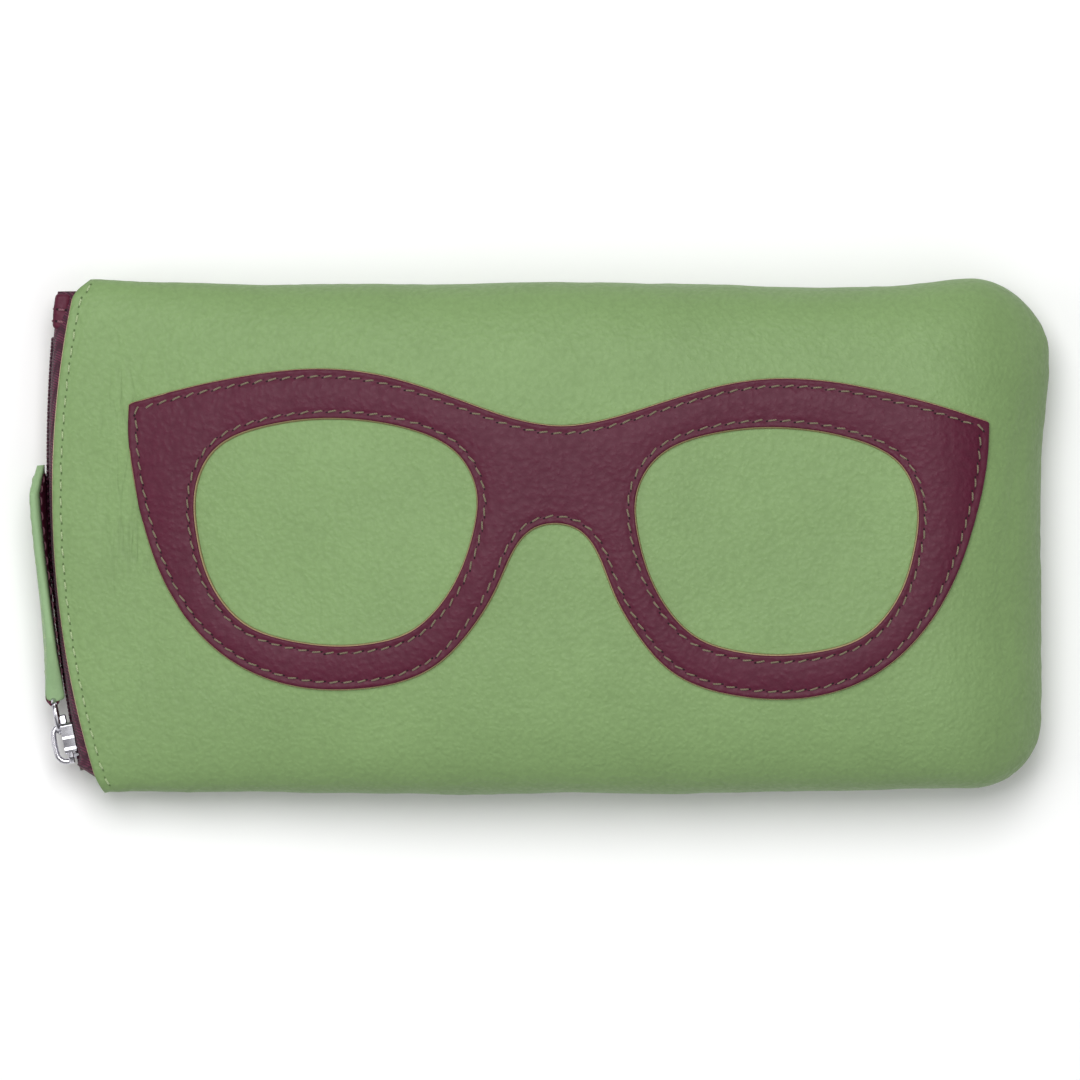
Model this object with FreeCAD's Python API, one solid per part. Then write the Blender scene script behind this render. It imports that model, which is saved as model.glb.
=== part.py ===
import FreeCAD, Part

import math
import os

# A soft leather case for one pair of glasses, with a zip along one short end.
# Millimetres. The case lies on its back: +Z leaves the front panel, +X points at the
# closed end and +Y at the end of the zip that has the leather tab.
# The origin is the middle of the underside.

V = FreeCAD.Vector
UP = V(0, 0, 1)

# ---- the case ------------------------------------------------------------------
CLOSED_END_X = 89.8        # outermost point of the closed end
HALF_WIDTH = 45.0          # half of the case's width
CORNER_RADIUS = 14.5       # plan radius of the two closed corners
SEAM_HEIGHT = 8.0          # the front and back panels meet at this height
FRONT_RISE = 18.0          # highest point of the front above the seam
BACK_DROP = 9.0            # the back bulges this far, then lies flat on the ground
MOUTH_RISE = 6.0           # half of the mouth's thickness
END_ROUNDING = 22.0        # length over which the closed end rounds off
FRONT_SWELL_LENGTH = 95.0  # length over which the front grows from the mouth
BACK_SWELL_LENGTH = 45.0
SQUARENESS = 4.0           # exponent of the case's cross-section: 2 is an ellipse
OVERRUN = 12.0             # the shell is made this much too long and then trimmed
ARCH_STEPS = 22

# ---- layers, measured inwards from the leather's outer face ----------------------
LEATHER = 1.2
LAYER_GAP = 0.08
TAPE = 0.45
PADDING_INNER = 3.2
LINING_OUTER = PADDING_INNER + LAYER_GAP
LINING_INNER = LINING_OUTER + 0.4
PADDING_SETBACK = 10.5     # padding stops this far inside the mouth's edge
LINING_SETBACK = 3.5
TAPE_SETBACK = 9.0         # the tape reaches this far under the leather

# ---- the mouth: a vertical arc that trims the leather -----------------------------
MOUTH_CENTRE = V(83.3, 7.65, 0)
MOUTH_RADIUS = 168.4
MOUTH_X = MOUTH_CENTRE.x - MOUTH_RADIUS

# ---- the zip: a flatter arc along the middle of the mouth ---------------------------
ZIP_CENTRE = V(178.4, 13.8, 0)
ZIP_RADIUS = 264.7         # outer face of the coils
ZIP_LOWEST_Y = -40.6       # ends of the two coils
ZIP_HIGHEST_Y = 36.2
TAPE_FACES = (0.5, 0.9)    # both faces of the tape across the mouth, behind the coils' face
TAPE_SEAM_GAP = 0.3        # each tape stops this far from the other one
COIL_DEPTH = 1.4           # thickness of the coils
COIL_LANE = 0.7            # each coil starts this far from the zip's middle
COIL_ROOT = 1.7            # the teeth end and the core cord starts
COIL_EDGE = 2.2            # the core cord ends and the tape starts
TOOTH_PITCH = 1.3
TOOTH_WIDTH = 0.75
STOP_LENGTH = 1.2
TAB_Y = (36.5, 42.8)
TAB_HALF_HEIGHT = 4.0
TAB_DEPTHS = (0.15, 2.9)     # both faces of the tab behind the coils' outer face
TAB_ROUNDING = 0.8

# ---- the slider, in its own frame: along the zip, outwards, across ------------------
SLIDER_Y = -35.55          # where the slider stands when the zip is closed
SLIDER_HALF_LENGTH = 4.4
SLIDER_HALF_WIDTH = 3.0
SLIDER_CHAMFER = 0.9
PLATE_CLEARANCE = 0.35
OUTER_PLATE = 0.8
INNER_PLATE = 0.7
FLANGE = 0.5
FLANGE_DROP = 0.5
BLADE_HALF_WIDTH = 0.35
BLADE = (-3.6, -1.4)       # the blade that parts the two coils
NOSE = (3.1, 4.8)          # the raised nose on the outer plate
NOSE_HALF_WIDTH = 1.5
NOSE_TOP = 1.65
CROWN = (-4.3, 3.0)        # ends of the arched crown along the slider
CROWN_TOP = 3.65
CROWN_BAR = 0.75
CROWN_CORNER = 1.6
CROWN_HALF_WIDTH = 0.85

# ---- jump ring and pull ---------------------------------------------------------
RING_EYE = (1.45, 2.05)    # where the ring's wire passes under the crown
RING_RADIUS = 3.1
RING_WIRE = 0.5
RING_SLIT = 0.25
PULL_HEADING = 95.2        # direction of the pull's length, degrees from +X
PULL_LENGTH = 40.9         # from the ring's wire to the tip
PULL_HALF_WIDTH = 5.75
PULL_TIP_CUT = 4.5         # the tip's two corners are cut off at this length
PULL_NECK = (3.0, 9.5)     # the neck widens between these places
PULL_NECK_HALF_WIDTH = 1.9
PULL_HALF_THICKNESS = 1.05
BACKING = 0.9
LOOP_INNER = 1.2
LOOP_OUTER = 1.8
LOOP_HALF_WIDTH = 1.4

# ---- applique: glasses seen from the front, in its own half plan ---------------------
APPLIQUE_CENTRE = (3.6, 10.75)
APPLIQUE_TURN = -1.2
APPLIQUE = 1.0
APPLIQUE_GAP = 0.12
BROW = ((0, 8.5), (8, 9.65), (16, 12.2), (24, 14.85), (33, 17.0), (44, 17.5), (56, 15.9), (66, 13.6),
        (75.3, 10.8))
RIM = ((75.3, 10.8), (75.1, 4), (73.8, -4), (71.7, -12), (68.5, -20), (63.15, -28), (56, -34),
       (47, -37.6), (37, -38.4), (27.5, -37), (20.85, -34), (15, -28), (10.25, -20), (6.55, -12),
       (3.6, -9.3), (0, -8.5))
LENS = ((40, 9.1), (51, 7.6), (60, 3.35), (63.4, -4), (62.95, -12), (60.5, -20), (54.5, -27.2),
        (47, -30), (39, -30.9), (30.2, -30), (24.3, -27.6), (17.8, -20), (14.3, -10), (14, -3),
        (17.6, 3.5), (27, 7.8))

# ---- thread ----------------------------------------------------------------------
THREAD = 0.4
THREAD_GAP = 0.12
APPLIQUE_THREAD_LIFT = 0.06
APPLIQUE_PITCH = 2.45
APPLIQUE_STITCH = 1.65
APPLIQUE_MARGIN = 1.2
MOUTH_PITCH = 3.0
MOUTH_STITCH = 1.5
MOUTH_MARGIN = 1.45
PULL_PITCH = 2.6
PULL_STITCH = 1.7
PULL_MARGIN = 1.2
TAB_ROWS = (37.85, 39.95)
TAB_PITCH = 2.2


# ---- the case's skin ---------------------------------------------------------------
def end_taper(x, inset):
    """1 along the case, falling to 0 as a quarter of an ellipse at the closed end."""
    start = CLOSED_END_X - END_ROUNDING
    if x <= start:
        return 1.0
    along = (x - start) / (END_ROUNDING - inset)
    return math.sqrt(max(0.0, 1 - along * along))


def swell(x, length):
    """0 at the mouth, 1 at this length from it, and 1 beyond."""
    return math.sin(math.pi / 2 * min(1.0, (x - MOUTH_X) / length))


def front_rise(x, inset):
    rise = MOUTH_RISE + (FRONT_RISE - MOUTH_RISE) * swell(x, FRONT_SWELL_LENGTH)
    return (rise - inset) * end_taper(x, inset)


def back_drop(x, inset):
    drop = MOUTH_RISE + (BACK_DROP - MOUTH_RISE) * swell(x, BACK_SWELL_LENGTH)
    return (drop - inset) * end_taper(x, inset)


def half_width(x, inset):
    radius = CORNER_RADIUS - inset
    past = x - (CLOSED_END_X - CORNER_RADIUS)
    if past <= 0:
        return HALF_WIDTH - inset
    return HALF_WIDTH - CORNER_RADIUS + math.sqrt(max(0.0, radius * radius - past * past))


def arch(width, height):
    """Points of half a cross-section from one side to the other, closest where it turns most."""
    power = 2 / SQUARENESS
    points = []
    for k in range(ARCH_STEPS + 1):
        turn = math.pi / 2 * (1 - math.cos(math.pi * k / ARCH_STEPS))
        across = abs(math.cos(turn)) ** power * (1 if 2 * k <= ARCH_STEPS else -1)
        up = math.sin(turn) ** power if 0 < k < ARCH_STEPS else 0
        points.append(V(0, width * across, height * up))
    return points


def shares(points):
    """How far along the run of points each one lies, from 0 to 1."""
    lengths = [0.0]
    for a, b in zip(points, points[1:]):
        lengths.append(lengths[-1] + (b - a).Length)
    return [length / lengths[-1] for length in lengths]


def section(x, inset):
    """The closed outline of the case at one place along it: a front and a back arch."""
    places = shares(arch(HALF_WIDTH, FRONT_RISE))
    arches = []
    for side, height in ((1, front_rise(x, inset)), (-1, -back_drop(x, inset))):
        points = [point + V(x, 0, SEAM_HEIGHT) for point in arch(half_width(x, inset) * side, height)]
        curve = Part.BSplineCurve()
        curve.interpolate(Points=points, Parameters=places)
        arches.append(curve.toShape())
    return Part.Wire(arches)


def body(inset):
    """The case as one closed form, this far inside the leather's outer face."""
    places = [MOUTH_X - OVERRUN - max(inset, 0), MOUTH_X - 5, MOUTH_X, MOUTH_X + 8, MOUTH_X + 20]
    places += [MOUTH_X + 35, MOUTH_X + 55, MOUTH_X + 75, MOUTH_X + 95, MOUTH_X + 115, MOUTH_X + 135]
    start = CLOSED_END_X - END_ROUNDING
    for degrees in (0, 12, 24, 36, 47, 58, 68, 77, 84, 88):
        places.append(start + (END_ROUNDING - inset) * math.sin(math.radians(degrees)))
    form = Part.makeLoft([section(x, inset) for x in places], True, False)
    above_ground = Part.makeBox(400, 200, 100, V(-200, -100, max(inset, 0)))
    return form.common(above_ground)


def front_height(x, y):
    """Height of the leather's outer face on the front."""
    across = min(1.0, abs(y) / half_width(x, 0))
    return SEAM_HEIGHT + front_rise(x, 0) * (1 - across ** SQUARENESS) ** (1 / SQUARENESS)


def back_height(x, y):
    """Height of the leather's outer face on the back."""
    across = min(1.0, abs(y) / half_width(x, 0))
    fall = back_drop(x, 0) * (1 - across ** SQUARENESS) ** (1 / SQUARENESS)
    return max(0.0, SEAM_HEIGHT - fall)


def disc(centre, radius):
    return Part.makeCylinder(radius, 80, V(centre.x, centre.y, -20))


def above(height):
    return Part.makeBox(400, 200, 60, V(-200, -100, height))


def below(height):
    return Part.makeBox(400, 200, 60, V(-200, -100, height - 60))


def halves(layer):
    """The front and the back half of a closed layer, parted at the seam."""
    return layer.common(above(SEAM_HEIGHT)), layer.common(below(SEAM_HEIGHT))


def save(name, *shapes):
    """Writes one node from all the solids of the given shapes."""
    solids = [solid for shape in shapes for solid in shape.Solids]
    node = Part.Compound(solids) if len(solids) > 1 else solids[0]
    node.exportStep("parts/" + name + ".step")
    print(name, len(solids), "solids", round(node.Volume, 1), "mm3", "valid", node.isValid())


# ---- frames ------------------------------------------------------------------------
def zip_angle(y):
    """Angle on the zip's arc, in degrees, of the point at this y."""
    return math.degrees(math.asin((y - ZIP_CENTRE.y) / ZIP_RADIUS))


def outwards(angle):
    turn = math.radians(angle)
    return V(-math.cos(turn), math.sin(turn), 0)


def on_zip(shape, angle):
    """Moves a shape from the zip's own frame (along, outwards, up) to its place."""
    placed = shape.copy()
    placed.rotate(V(0, 0, 0), UP, 90 - angle)
    placed.translate(ZIP_CENTRE + outwards(angle) * ZIP_RADIUS + UP * SEAM_HEIGHT)
    return placed


def zip_point(along, out, angle):
    """A point of the zip's own frame, in the case's frame."""
    ahead = outwards(angle).cross(UP)
    return ZIP_CENTRE + outwards(angle) * (ZIP_RADIUS + out) + ahead * along + UP * SEAM_HEIGHT


def block(a, b, c):
    """A box between three pairs of limits."""
    return Part.makeBox(a[1] - a[0], b[1] - b[0], c[1] - c[0], V(a[0], b[0], c[0]))


def plate(points, low, high):
    """A flat plate with this outline in the plan of x and z, between two values of y."""
    corners = [V(x, low, z) for x, z in points]
    face = Part.Face(Part.makePolygon(corners + corners[:1]))
    return face.extrude(V(0, high - low, 0))


# ---- thread ------------------------------------------------------------------------
def stitch(place, ahead, normal, length):
    """One flat stitch of thread lying on a face: ahead along the row, normal off the face."""
    ahead = V(ahead).normalize()
    side = V(normal).cross(ahead).normalize()
    normal = ahead.cross(side)
    thread = Part.makeBox(length, THREAD, THREAD, V(-length / 2, -THREAD / 2, THREAD_GAP))
    axes = FreeCAD.Matrix(ahead.x, side.x, normal.x, place.x, ahead.y, side.y, normal.y, place.y,
                          ahead.z, side.z, normal.z, place.z, 0, 0, 0, 1)
    thread.Placement = FreeCAD.Placement(axes)
    return thread


def skin_normal(height, x, y):
    step = 0.2
    slope_x = (height(x + step, y) - height(x - step, y)) / (2 * step)
    slope_y = (height(x, y + step) - height(x, y - step)) / (2 * step)
    return V(-slope_x, -slope_y, 1).normalize()


def row_on_skin(curve, pitch, length, height, side, lift):
    """Stitches along a plan curve, laid on the front (side 1) or the back (side -1)."""
    edge = curve.toShape()
    count = max(1, round(edge.Length / pitch))
    stitches = []
    for place in edge.discretize(count + 1)[:-1]:
        at = curve.parameter(place)
        ahead = V(curve.tangent(at)[0])
        normal = skin_normal(height, place.x, place.y)
        ahead = ahead - normal * ahead.dot(normal)
        ground = V(place.x, place.y, height(place.x, place.y))
        stitches.append(stitch(ground + normal * (side * lift), ahead, normal * side, length))
    return stitches


# ---- applique ----------------------------------------------------------------------
def applique_point(u, v):
    turn = math.radians(APPLIQUE_TURN)
    x = APPLIQUE_CENTRE[0] + u * math.cos(turn) - v * math.sin(turn)
    y = APPLIQUE_CENTRE[1] + u * math.sin(turn) + v * math.cos(turn)
    return V(x, y, 0)


def spline(points, closed=False):
    curve = Part.BSplineCurve()
    curve.interpolate(Points=points, PeriodicFlag=closed)
    return curve


def mirrored(half):
    """The points of a half outline and of its mirror image, in one run from left to right."""
    left = [(-u, v) for u, v in reversed(half)]
    return left + list(half[1:])


def applique_outline():
    """The brow line over both lenses, and the rim round them with the bridge's underside."""
    brow = spline([applique_point(u, v) for u, v in mirrored(BROW)])
    rim_left = [(-u, v) for u, v in RIM]
    under = rim_left + list(reversed(RIM))[1:]
    rim = spline([applique_point(u, v) for u, v in under])
    return brow, rim


def lens_outline(side):
    return spline([applique_point(side * u, v) for u, v in LENS], closed=True)


def applique_leather():
    brow, rim = applique_outline()
    outer = Part.Face(Part.Wire([brow.toShape(), rim.toShape()]))
    holes = [Part.Face(Part.Wire([lens_outline(side).toShape()])) for side in (-1, 1)]
    upright = outer.cut(holes[0]).cut(holes[1]).extrude(UP * 60)
    top = body(-APPLIQUE - APPLIQUE_GAP)
    skin = top.common(upright).cut(body(-APPLIQUE_GAP))
    return skin.common(above(SEAM_HEIGHT))


def inner_row(curve, margin):
    """A plan curve beside another one: a positive margin lies to the left of its run."""
    edge = curve.toShape()
    count = max(8, round(edge.Length / 4))
    points = []
    places = edge.discretize(count + 1)
    for place in places[:-1] if curve.isPeriodic() else places:
        ahead = V(curve.tangent(curve.parameter(place))[0])
        points.append(place + UP.cross(ahead) * margin)
    return spline(points, closed=curve.isPeriodic())


# ---- zip ---------------------------------------------------------------------------
def zip_wall(inner, outer, low, high):
    """A strip that follows the zip's arc: depths behind the coils' face, heights off the seam."""
    ring = disc(ZIP_CENTRE, ZIP_RADIUS - outer).cut(disc(ZIP_CENTRE, ZIP_RADIUS - inner))
    return ring.common(block((-200, 0), (-100, 100), (SEAM_HEIGHT + low, SEAM_HEIGHT + high)))


def zip_tape(side, under_leather, envelope):
    """The tape: a strip under the leather's edge, turned across the mouth to the coil."""
    low, high = (COIL_EDGE, 20) if side > 0 else (-20, -COIL_EDGE)
    across = zip_wall(TAPE_FACES[1], TAPE_FACES[0], low, high).common(envelope)
    half = above(SEAM_HEIGHT + TAPE_SEAM_GAP) if side > 0 else below(SEAM_HEIGHT - TAPE_SEAM_GAP)
    room = TAB_HALF_HEIGHT + 1
    tab_room = block((-200, 0), (TAB_Y[0] - 0.3, 100), (SEAM_HEIGHT - room, SEAM_HEIGHT + room))
    return under_leather.common(half).fuse(across).removeSplitter().cut(tab_room)


def zip_coil(side):
    """The core cord along the tape's edge, and the teeth that reach for the other coil."""
    low, high = sorted((side * COIL_ROOT, side * COIL_EDGE))
    ends = block((-200, 0), (ZIP_LOWEST_Y, ZIP_HIGHEST_Y), (0, 30))
    pieces = [zip_wall(COIL_DEPTH - 0.3, 0.3, low, high).common(ends)]
    first = zip_angle(ZIP_LOWEST_Y) + 0.1
    last = zip_angle(ZIP_HIGHEST_Y) - 0.1
    pitch = math.degrees(TOOTH_PITCH / ZIP_RADIUS)
    shift = pitch / 4 * side
    low, high = sorted((side * COIL_LANE, side * (COIL_ROOT - 0.02)))
    tooth = block((-TOOTH_WIDTH / 2, TOOTH_WIDTH / 2), (-COIL_DEPTH, 0), (low, high))
    for k in range(int((last - first) / pitch)):
        pieces.append(on_zip(tooth, first + (k + 0.5) * pitch + shift))
    return pieces


def end_stops():
    """Two crimped stops that the closed slider meets."""
    angle = zip_angle(ZIP_LOWEST_Y - STOP_LENGTH / 2 - 0.2)
    stops = []
    for side in (-1, 1):
        low, high = sorted((side * COIL_LANE, side * COIL_EDGE))
        stop = block((-STOP_LENGTH / 2, STOP_LENGTH / 2), (-COIL_DEPTH, 0), (low, high))
        stops.append(on_zip(stop, angle))
    return stops


def end_tab():
    """A leather tab folded over the zip's end, its outer face almost level with the coils."""
    wall = zip_wall(TAB_DEPTHS[1], TAB_DEPTHS[0], -TAB_HALF_HEIGHT, TAB_HALF_HEIGHT)
    tab = wall.common(block((-200, 0), TAB_Y, (-10, 40))).Solids[0]
    middle = tab.CenterOfMass.x
    outer_edges = [edge for edge in tab.Edges if edge.CenterOfMass.x < middle - TAB_DEPTHS[1] / 4]
    long_edges = [edge for edge in outer_edges if edge.BoundBox.ZLength < 0.01]
    return tab.makeFillet(TAB_ROUNDING, long_edges)


def end_tab_thread():
    """Two rows of stitches across the tab's outer face."""
    stitches = []
    for y in TAB_ROWS:
        angle = zip_angle(y)
        for k in (-1, 0, 1):
            place = zip_point(0, -TAB_DEPTHS[0], angle) + UP * (k * TAB_PITCH)
            stitches.append(stitch(place, UP, outwards(angle), 1.5))
    return stitches


# ---- slider, ring and pull -----------------------------------------------------------
def chamfered(half_length, half_width_, cut):
    corners = []
    for a, b in ((1, 1), (-1, 1), (-1, -1), (1, -1)):
        near = (a * half_length, b * (half_width_ - cut))
        far = (a * (half_length - cut), b * half_width_)
        corners += [near, far] if a * b > 0 else [far, near]
    return corners


def slider_body():
    """Two plates with flanges over the tape, joined by the blade that parts the coils."""
    outline = chamfered(SLIDER_HALF_LENGTH, SLIDER_HALF_WIDTH, SLIDER_CHAMFER)
    outer_low = PLATE_CLEARANCE
    inner_high = -COIL_DEPTH - PLATE_CLEARANCE
    outer = plate(outline, outer_low, outer_low + OUTER_PLATE)
    inner = plate(outline, inner_high - INNER_PLATE, inner_high)
    flange_run = (-SLIDER_HALF_LENGTH + 1.2, SLIDER_HALF_LENGTH - 1.2)
    whole = outer.fuse(inner)
    for side in (-1, 1):
        across = sorted((side * (SLIDER_HALF_WIDTH - FLANGE), side * SLIDER_HALF_WIDTH))
        whole = whole.fuse(block(flange_run, (outer_low - FLANGE_DROP, outer_low), across))
        whole = whole.fuse(block(flange_run, (inner_high, inner_high + FLANGE_DROP), across))
    blade_width = (-BLADE_HALF_WIDTH, BLADE_HALF_WIDTH)
    whole = whole.fuse(block(BLADE, (inner_high, outer_low), blade_width))
    nose = block(NOSE, (0.4, NOSE_TOP), (-NOSE_HALF_WIDTH, NOSE_HALF_WIDTH))
    nose = nose.common(block((-10, SLIDER_HALF_LENGTH), (0, 5), (-5, 5)))
    return whole.fuse(nose).removeSplitter()


def rounded_arch(left, right, foot, top, radius):
    """The face of an arch with two rounded shoulders, in the plan of along and outwards."""
    root = radius * (1 - math.sqrt(0.5))
    a = Part.LineSegment(V(left, foot, 0), V(left, top - radius, 0))
    b = Part.Arc(V(left, top - radius, 0), V(left + root, top - root, 0), V(left + radius, top, 0))
    c = Part.LineSegment(V(left + radius, top, 0), V(right - radius, top, 0))
    d = Part.Arc(V(right - radius, top, 0), V(right - root, top - root, 0), V(right, top - radius, 0))
    e = Part.LineSegment(V(right, top - radius, 0), V(right, foot, 0))
    f = Part.LineSegment(V(right, foot, 0), V(left, foot, 0))
    return Part.Face(Part.Wire([side.toShape() for side in (a, b, c, d, e, f)]))


def slider_crown():
    """The arched bridge on the outer plate, which the jump ring hangs in."""
    foot = PLATE_CLEARANCE + OUTER_PLATE
    outer = rounded_arch(*CROWN, foot, CROWN_TOP, CROWN_CORNER)
    bar = CROWN_BAR
    inner = rounded_arch(CROWN[0] + bar, CROWN[1] - bar, foot, CROWN_TOP - bar, CROWN_CORNER - bar)
    crown = outer.cut(inner).extrude(UP * (2 * CROWN_HALF_WIDTH))
    crown.translate(V(0, 0, -CROWN_HALF_WIDTH))
    return crown


def pull_ring():
    """A round wire ring that stands across the zip, with the slit where it was closed."""
    centre = V(RING_EYE[0] + RING_RADIUS, RING_EYE[1], 0)
    ring = Part.makeTorus(RING_RADIUS, RING_WIRE, centre, V(0, 1, 0))
    slit = block((0, RING_RADIUS * 2), (-2, 2), (-RING_SLIT / 2, RING_SLIT / 2))
    slit.rotate(V(0, 0, 0), V(0, 1, 0), -55)
    slit.translate(centre)
    return ring.cut(slit)


def pull_outline(grow=0.0):
    """The pull's outline from the neck to the tip, in the plan of along and across."""
    wide = PULL_HALF_WIDTH + grow
    tip = PULL_LENGTH + grow
    upper = [(PULL_NECK[0], PULL_NECK_HALF_WIDTH), (PULL_NECK[1], wide)]
    upper += [(tip - PULL_TIP_CUT, wide), (tip, wide - PULL_TIP_CUT)]
    return upper + [(along, -across) for along, across in reversed(upper)]


def pull_facing():
    """The outer leather of the pull."""
    return plate(pull_outline(), -PULL_HALF_THICKNESS + BACKING + 0.02, PULL_HALF_THICKNESS)


def pull_backing():
    """The inner leather of the pull, whose narrow end is wrapped round the ring's wire."""
    inner = (-PULL_HALF_THICKNESS, -PULL_HALF_THICKNESS + BACKING)
    outer = (inner[1], PULL_HALF_THICKNESS)
    flat = plate(pull_outline(), *inner)
    loop_width = (-LOOP_HALF_WIDTH, LOOP_HALF_WIDTH)
    tongue = block((0, PULL_NECK[0] + 2), inner, loop_width)
    loop = Part.makeCylinder(LOOP_OUTER, 2 * LOOP_HALF_WIDTH, V(0, 0, -LOOP_HALF_WIDTH))
    hole = Part.makeCylinder(LOOP_INNER, 20, V(0, 0, -10))
    outer_side = block((0, PULL_NECK[0] - 0.05), outer, loop_width)
    return flat.fuse(tongue).fuse(loop).fuse(outer_side).cut(hole).removeSplitter()


def pull_thread():
    """Stitches all round the pull's edge, on both faces."""
    outline = pull_outline(-PULL_MARGIN)
    outline[0] = (PULL_NECK[0] + 0.6, PULL_NECK_HALF_WIDTH - 0.6)
    outline[-1] = (PULL_NECK[0] + 0.6, -PULL_NECK_HALF_WIDTH + 0.6)
    stitches = []
    for face in (-1, 1):
        for a, b in zip(outline, outline[1:]):
            run = math.dist(a, b)
            count = round(run / PULL_PITCH)
            for k in range(count):
                share = (k + 0.5) / count
                place = V(a[0] + (b[0] - a[0]) * share, face * PULL_HALF_THICKNESS,
                          a[1] + (b[1] - a[1]) * share)
                ahead = V(b[0] - a[0], 0, b[1] - a[1])
                stitches.append(stitch(place, ahead, V(0, face, 0), min(PULL_STITCH, run / count - 0.5)))
    return stitches


def on_pull(shape, ring_wire):
    """Moves a shape from the pull's own frame (along, outwards, across) to its place."""
    placed = shape.copy()
    placed.rotate(V(0, 0, 0), UP, PULL_HEADING)
    placed.translate(ring_wire)
    return placed


# ---- the model -------------------------------------------------------------------------
os.makedirs("parts", exist_ok=True)

mouth = disc(MOUTH_CENTRE, MOUTH_RADIUS)
leather = body(0).common(mouth).cut(body(LEATHER))
front_leather, back_leather = halves(leather)
save("front_leather_panel", front_leather)
save("back_leather_panel", back_leather)

tape_outer = LEATHER + LAYER_GAP
tape_form = body(tape_outer)
padding_reach = disc(MOUTH_CENTRE, MOUTH_RADIUS - PADDING_SETBACK)
padding = tape_form.common(padding_reach).cut(body(PADDING_INNER))
front_padding, back_padding = halves(padding)
save("front_padding", front_padding)
save("back_padding", back_padding)

lining_reach = disc(MOUTH_CENTRE, MOUTH_RADIUS - LINING_SETBACK)
lining = body(LINING_OUTER).common(lining_reach).cut(body(LINING_INNER))
front_lining, back_lining = halves(lining)
save("front_lining", front_lining)
save("back_lining", back_lining)

save("spectacle_applique", applique_leather())
brow, rim = applique_outline()
lift = APPLIQUE + APPLIQUE_GAP + APPLIQUE_THREAD_LIFT
outline_rows = []
for row in (inner_row(brow, -APPLIQUE_MARGIN), inner_row(rim, APPLIQUE_MARGIN)):
    outline_rows += row_on_skin(row, APPLIQUE_PITCH, APPLIQUE_STITCH, front_height, 1, lift)
save("applique_outline_thread", *outline_rows)
for name, side in (("applique_left_lens_thread", -1), ("applique_right_lens_thread", 1)):
    row = inner_row(lens_outline(side), side * APPLIQUE_MARGIN)
    save(name, *row_on_skin(row, APPLIQUE_PITCH, APPLIQUE_STITCH, front_height, 1, lift))

thread_arc = Part.Circle(MOUTH_CENTRE, UP, MOUTH_RADIUS - MOUTH_MARGIN)
arc_ends = [180 - math.degrees(math.asin((y - MOUTH_CENTRE.y) / MOUTH_RADIUS)) for y in (43, -43)]
mouth_row = Part.ArcOfCircle(thread_arc, math.radians(arc_ends[0]), math.radians(arc_ends[1]))
save("front_mouth_thread", *row_on_skin(mouth_row, MOUTH_PITCH, MOUTH_STITCH, front_height, 1, 0))
save("back_mouth_thread", *row_on_skin(mouth_row, MOUTH_PITCH, MOUTH_STITCH, back_height, -1, 0))

behind_zip = disc(ZIP_CENTRE, ZIP_RADIUS - TAPE_FACES[0])
tape_layer = tape_form.cut(body(tape_outer + TAPE)).common(behind_zip)
tape_layer = tape_layer.cut(disc(MOUTH_CENTRE, MOUTH_RADIUS - TAPE_SETBACK))
save("front_zip_tape", zip_tape(1, tape_layer, tape_form))
save("back_zip_tape", zip_tape(-1, tape_layer, tape_form))
save("front_zip_coil", *zip_coil(1))
save("back_zip_coil", *zip_coil(-1))
save("zip_end_stops", *end_stops())
save("zip_end_tab", end_tab())
save("zip_end_tab_thread", *end_tab_thread())

slider_angle = zip_angle(SLIDER_Y)
save("slider_body", on_zip(slider_body(), slider_angle))
save("slider_crown", on_zip(slider_crown(), slider_angle))
save("pull_ring", on_zip(pull_ring(), slider_angle))
ring_wire = zip_point(RING_EYE[0] + 2 * RING_RADIUS, RING_EYE[1], slider_angle)
save("pull_facing", on_pull(pull_facing(), ring_wire))
save("pull_backing", on_pull(pull_backing(), ring_wire))
save("pull_thread", *[on_pull(piece, ring_wire) for piece in pull_thread()])
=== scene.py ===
# %% [markdown]
# A soft leather case for glasses lies on its back. It has a zip along its left end, a leather pull
# on the slider, and a pair of glasses cut from dark red leather sewn to its front.
# The working model already says where every part is and what moves. This lesson dresses that model:
# each part gets a finer shape and a finish made from nodes.
# %% Load the frame
import math

import bmesh
import bpy
import numpy as np
from mathutils import Matrix, Vector, geometry, kdtree, noise
from mathutils.bvhtree import BVHTree


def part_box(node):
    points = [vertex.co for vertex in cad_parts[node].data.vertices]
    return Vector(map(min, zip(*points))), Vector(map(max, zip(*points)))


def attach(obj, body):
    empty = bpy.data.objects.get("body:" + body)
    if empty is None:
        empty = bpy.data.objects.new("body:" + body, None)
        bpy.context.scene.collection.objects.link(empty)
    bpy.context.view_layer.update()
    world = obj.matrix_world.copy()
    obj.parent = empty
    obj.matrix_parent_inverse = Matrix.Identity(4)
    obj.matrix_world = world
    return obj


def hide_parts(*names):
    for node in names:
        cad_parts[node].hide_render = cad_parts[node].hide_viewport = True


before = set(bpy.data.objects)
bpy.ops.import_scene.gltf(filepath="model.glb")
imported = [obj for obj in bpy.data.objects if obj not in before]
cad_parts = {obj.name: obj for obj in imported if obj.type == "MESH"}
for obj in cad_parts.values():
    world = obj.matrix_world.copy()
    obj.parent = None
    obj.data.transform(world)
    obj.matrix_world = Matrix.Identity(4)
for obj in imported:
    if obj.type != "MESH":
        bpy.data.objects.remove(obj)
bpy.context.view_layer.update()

MM = 0.001

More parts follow.
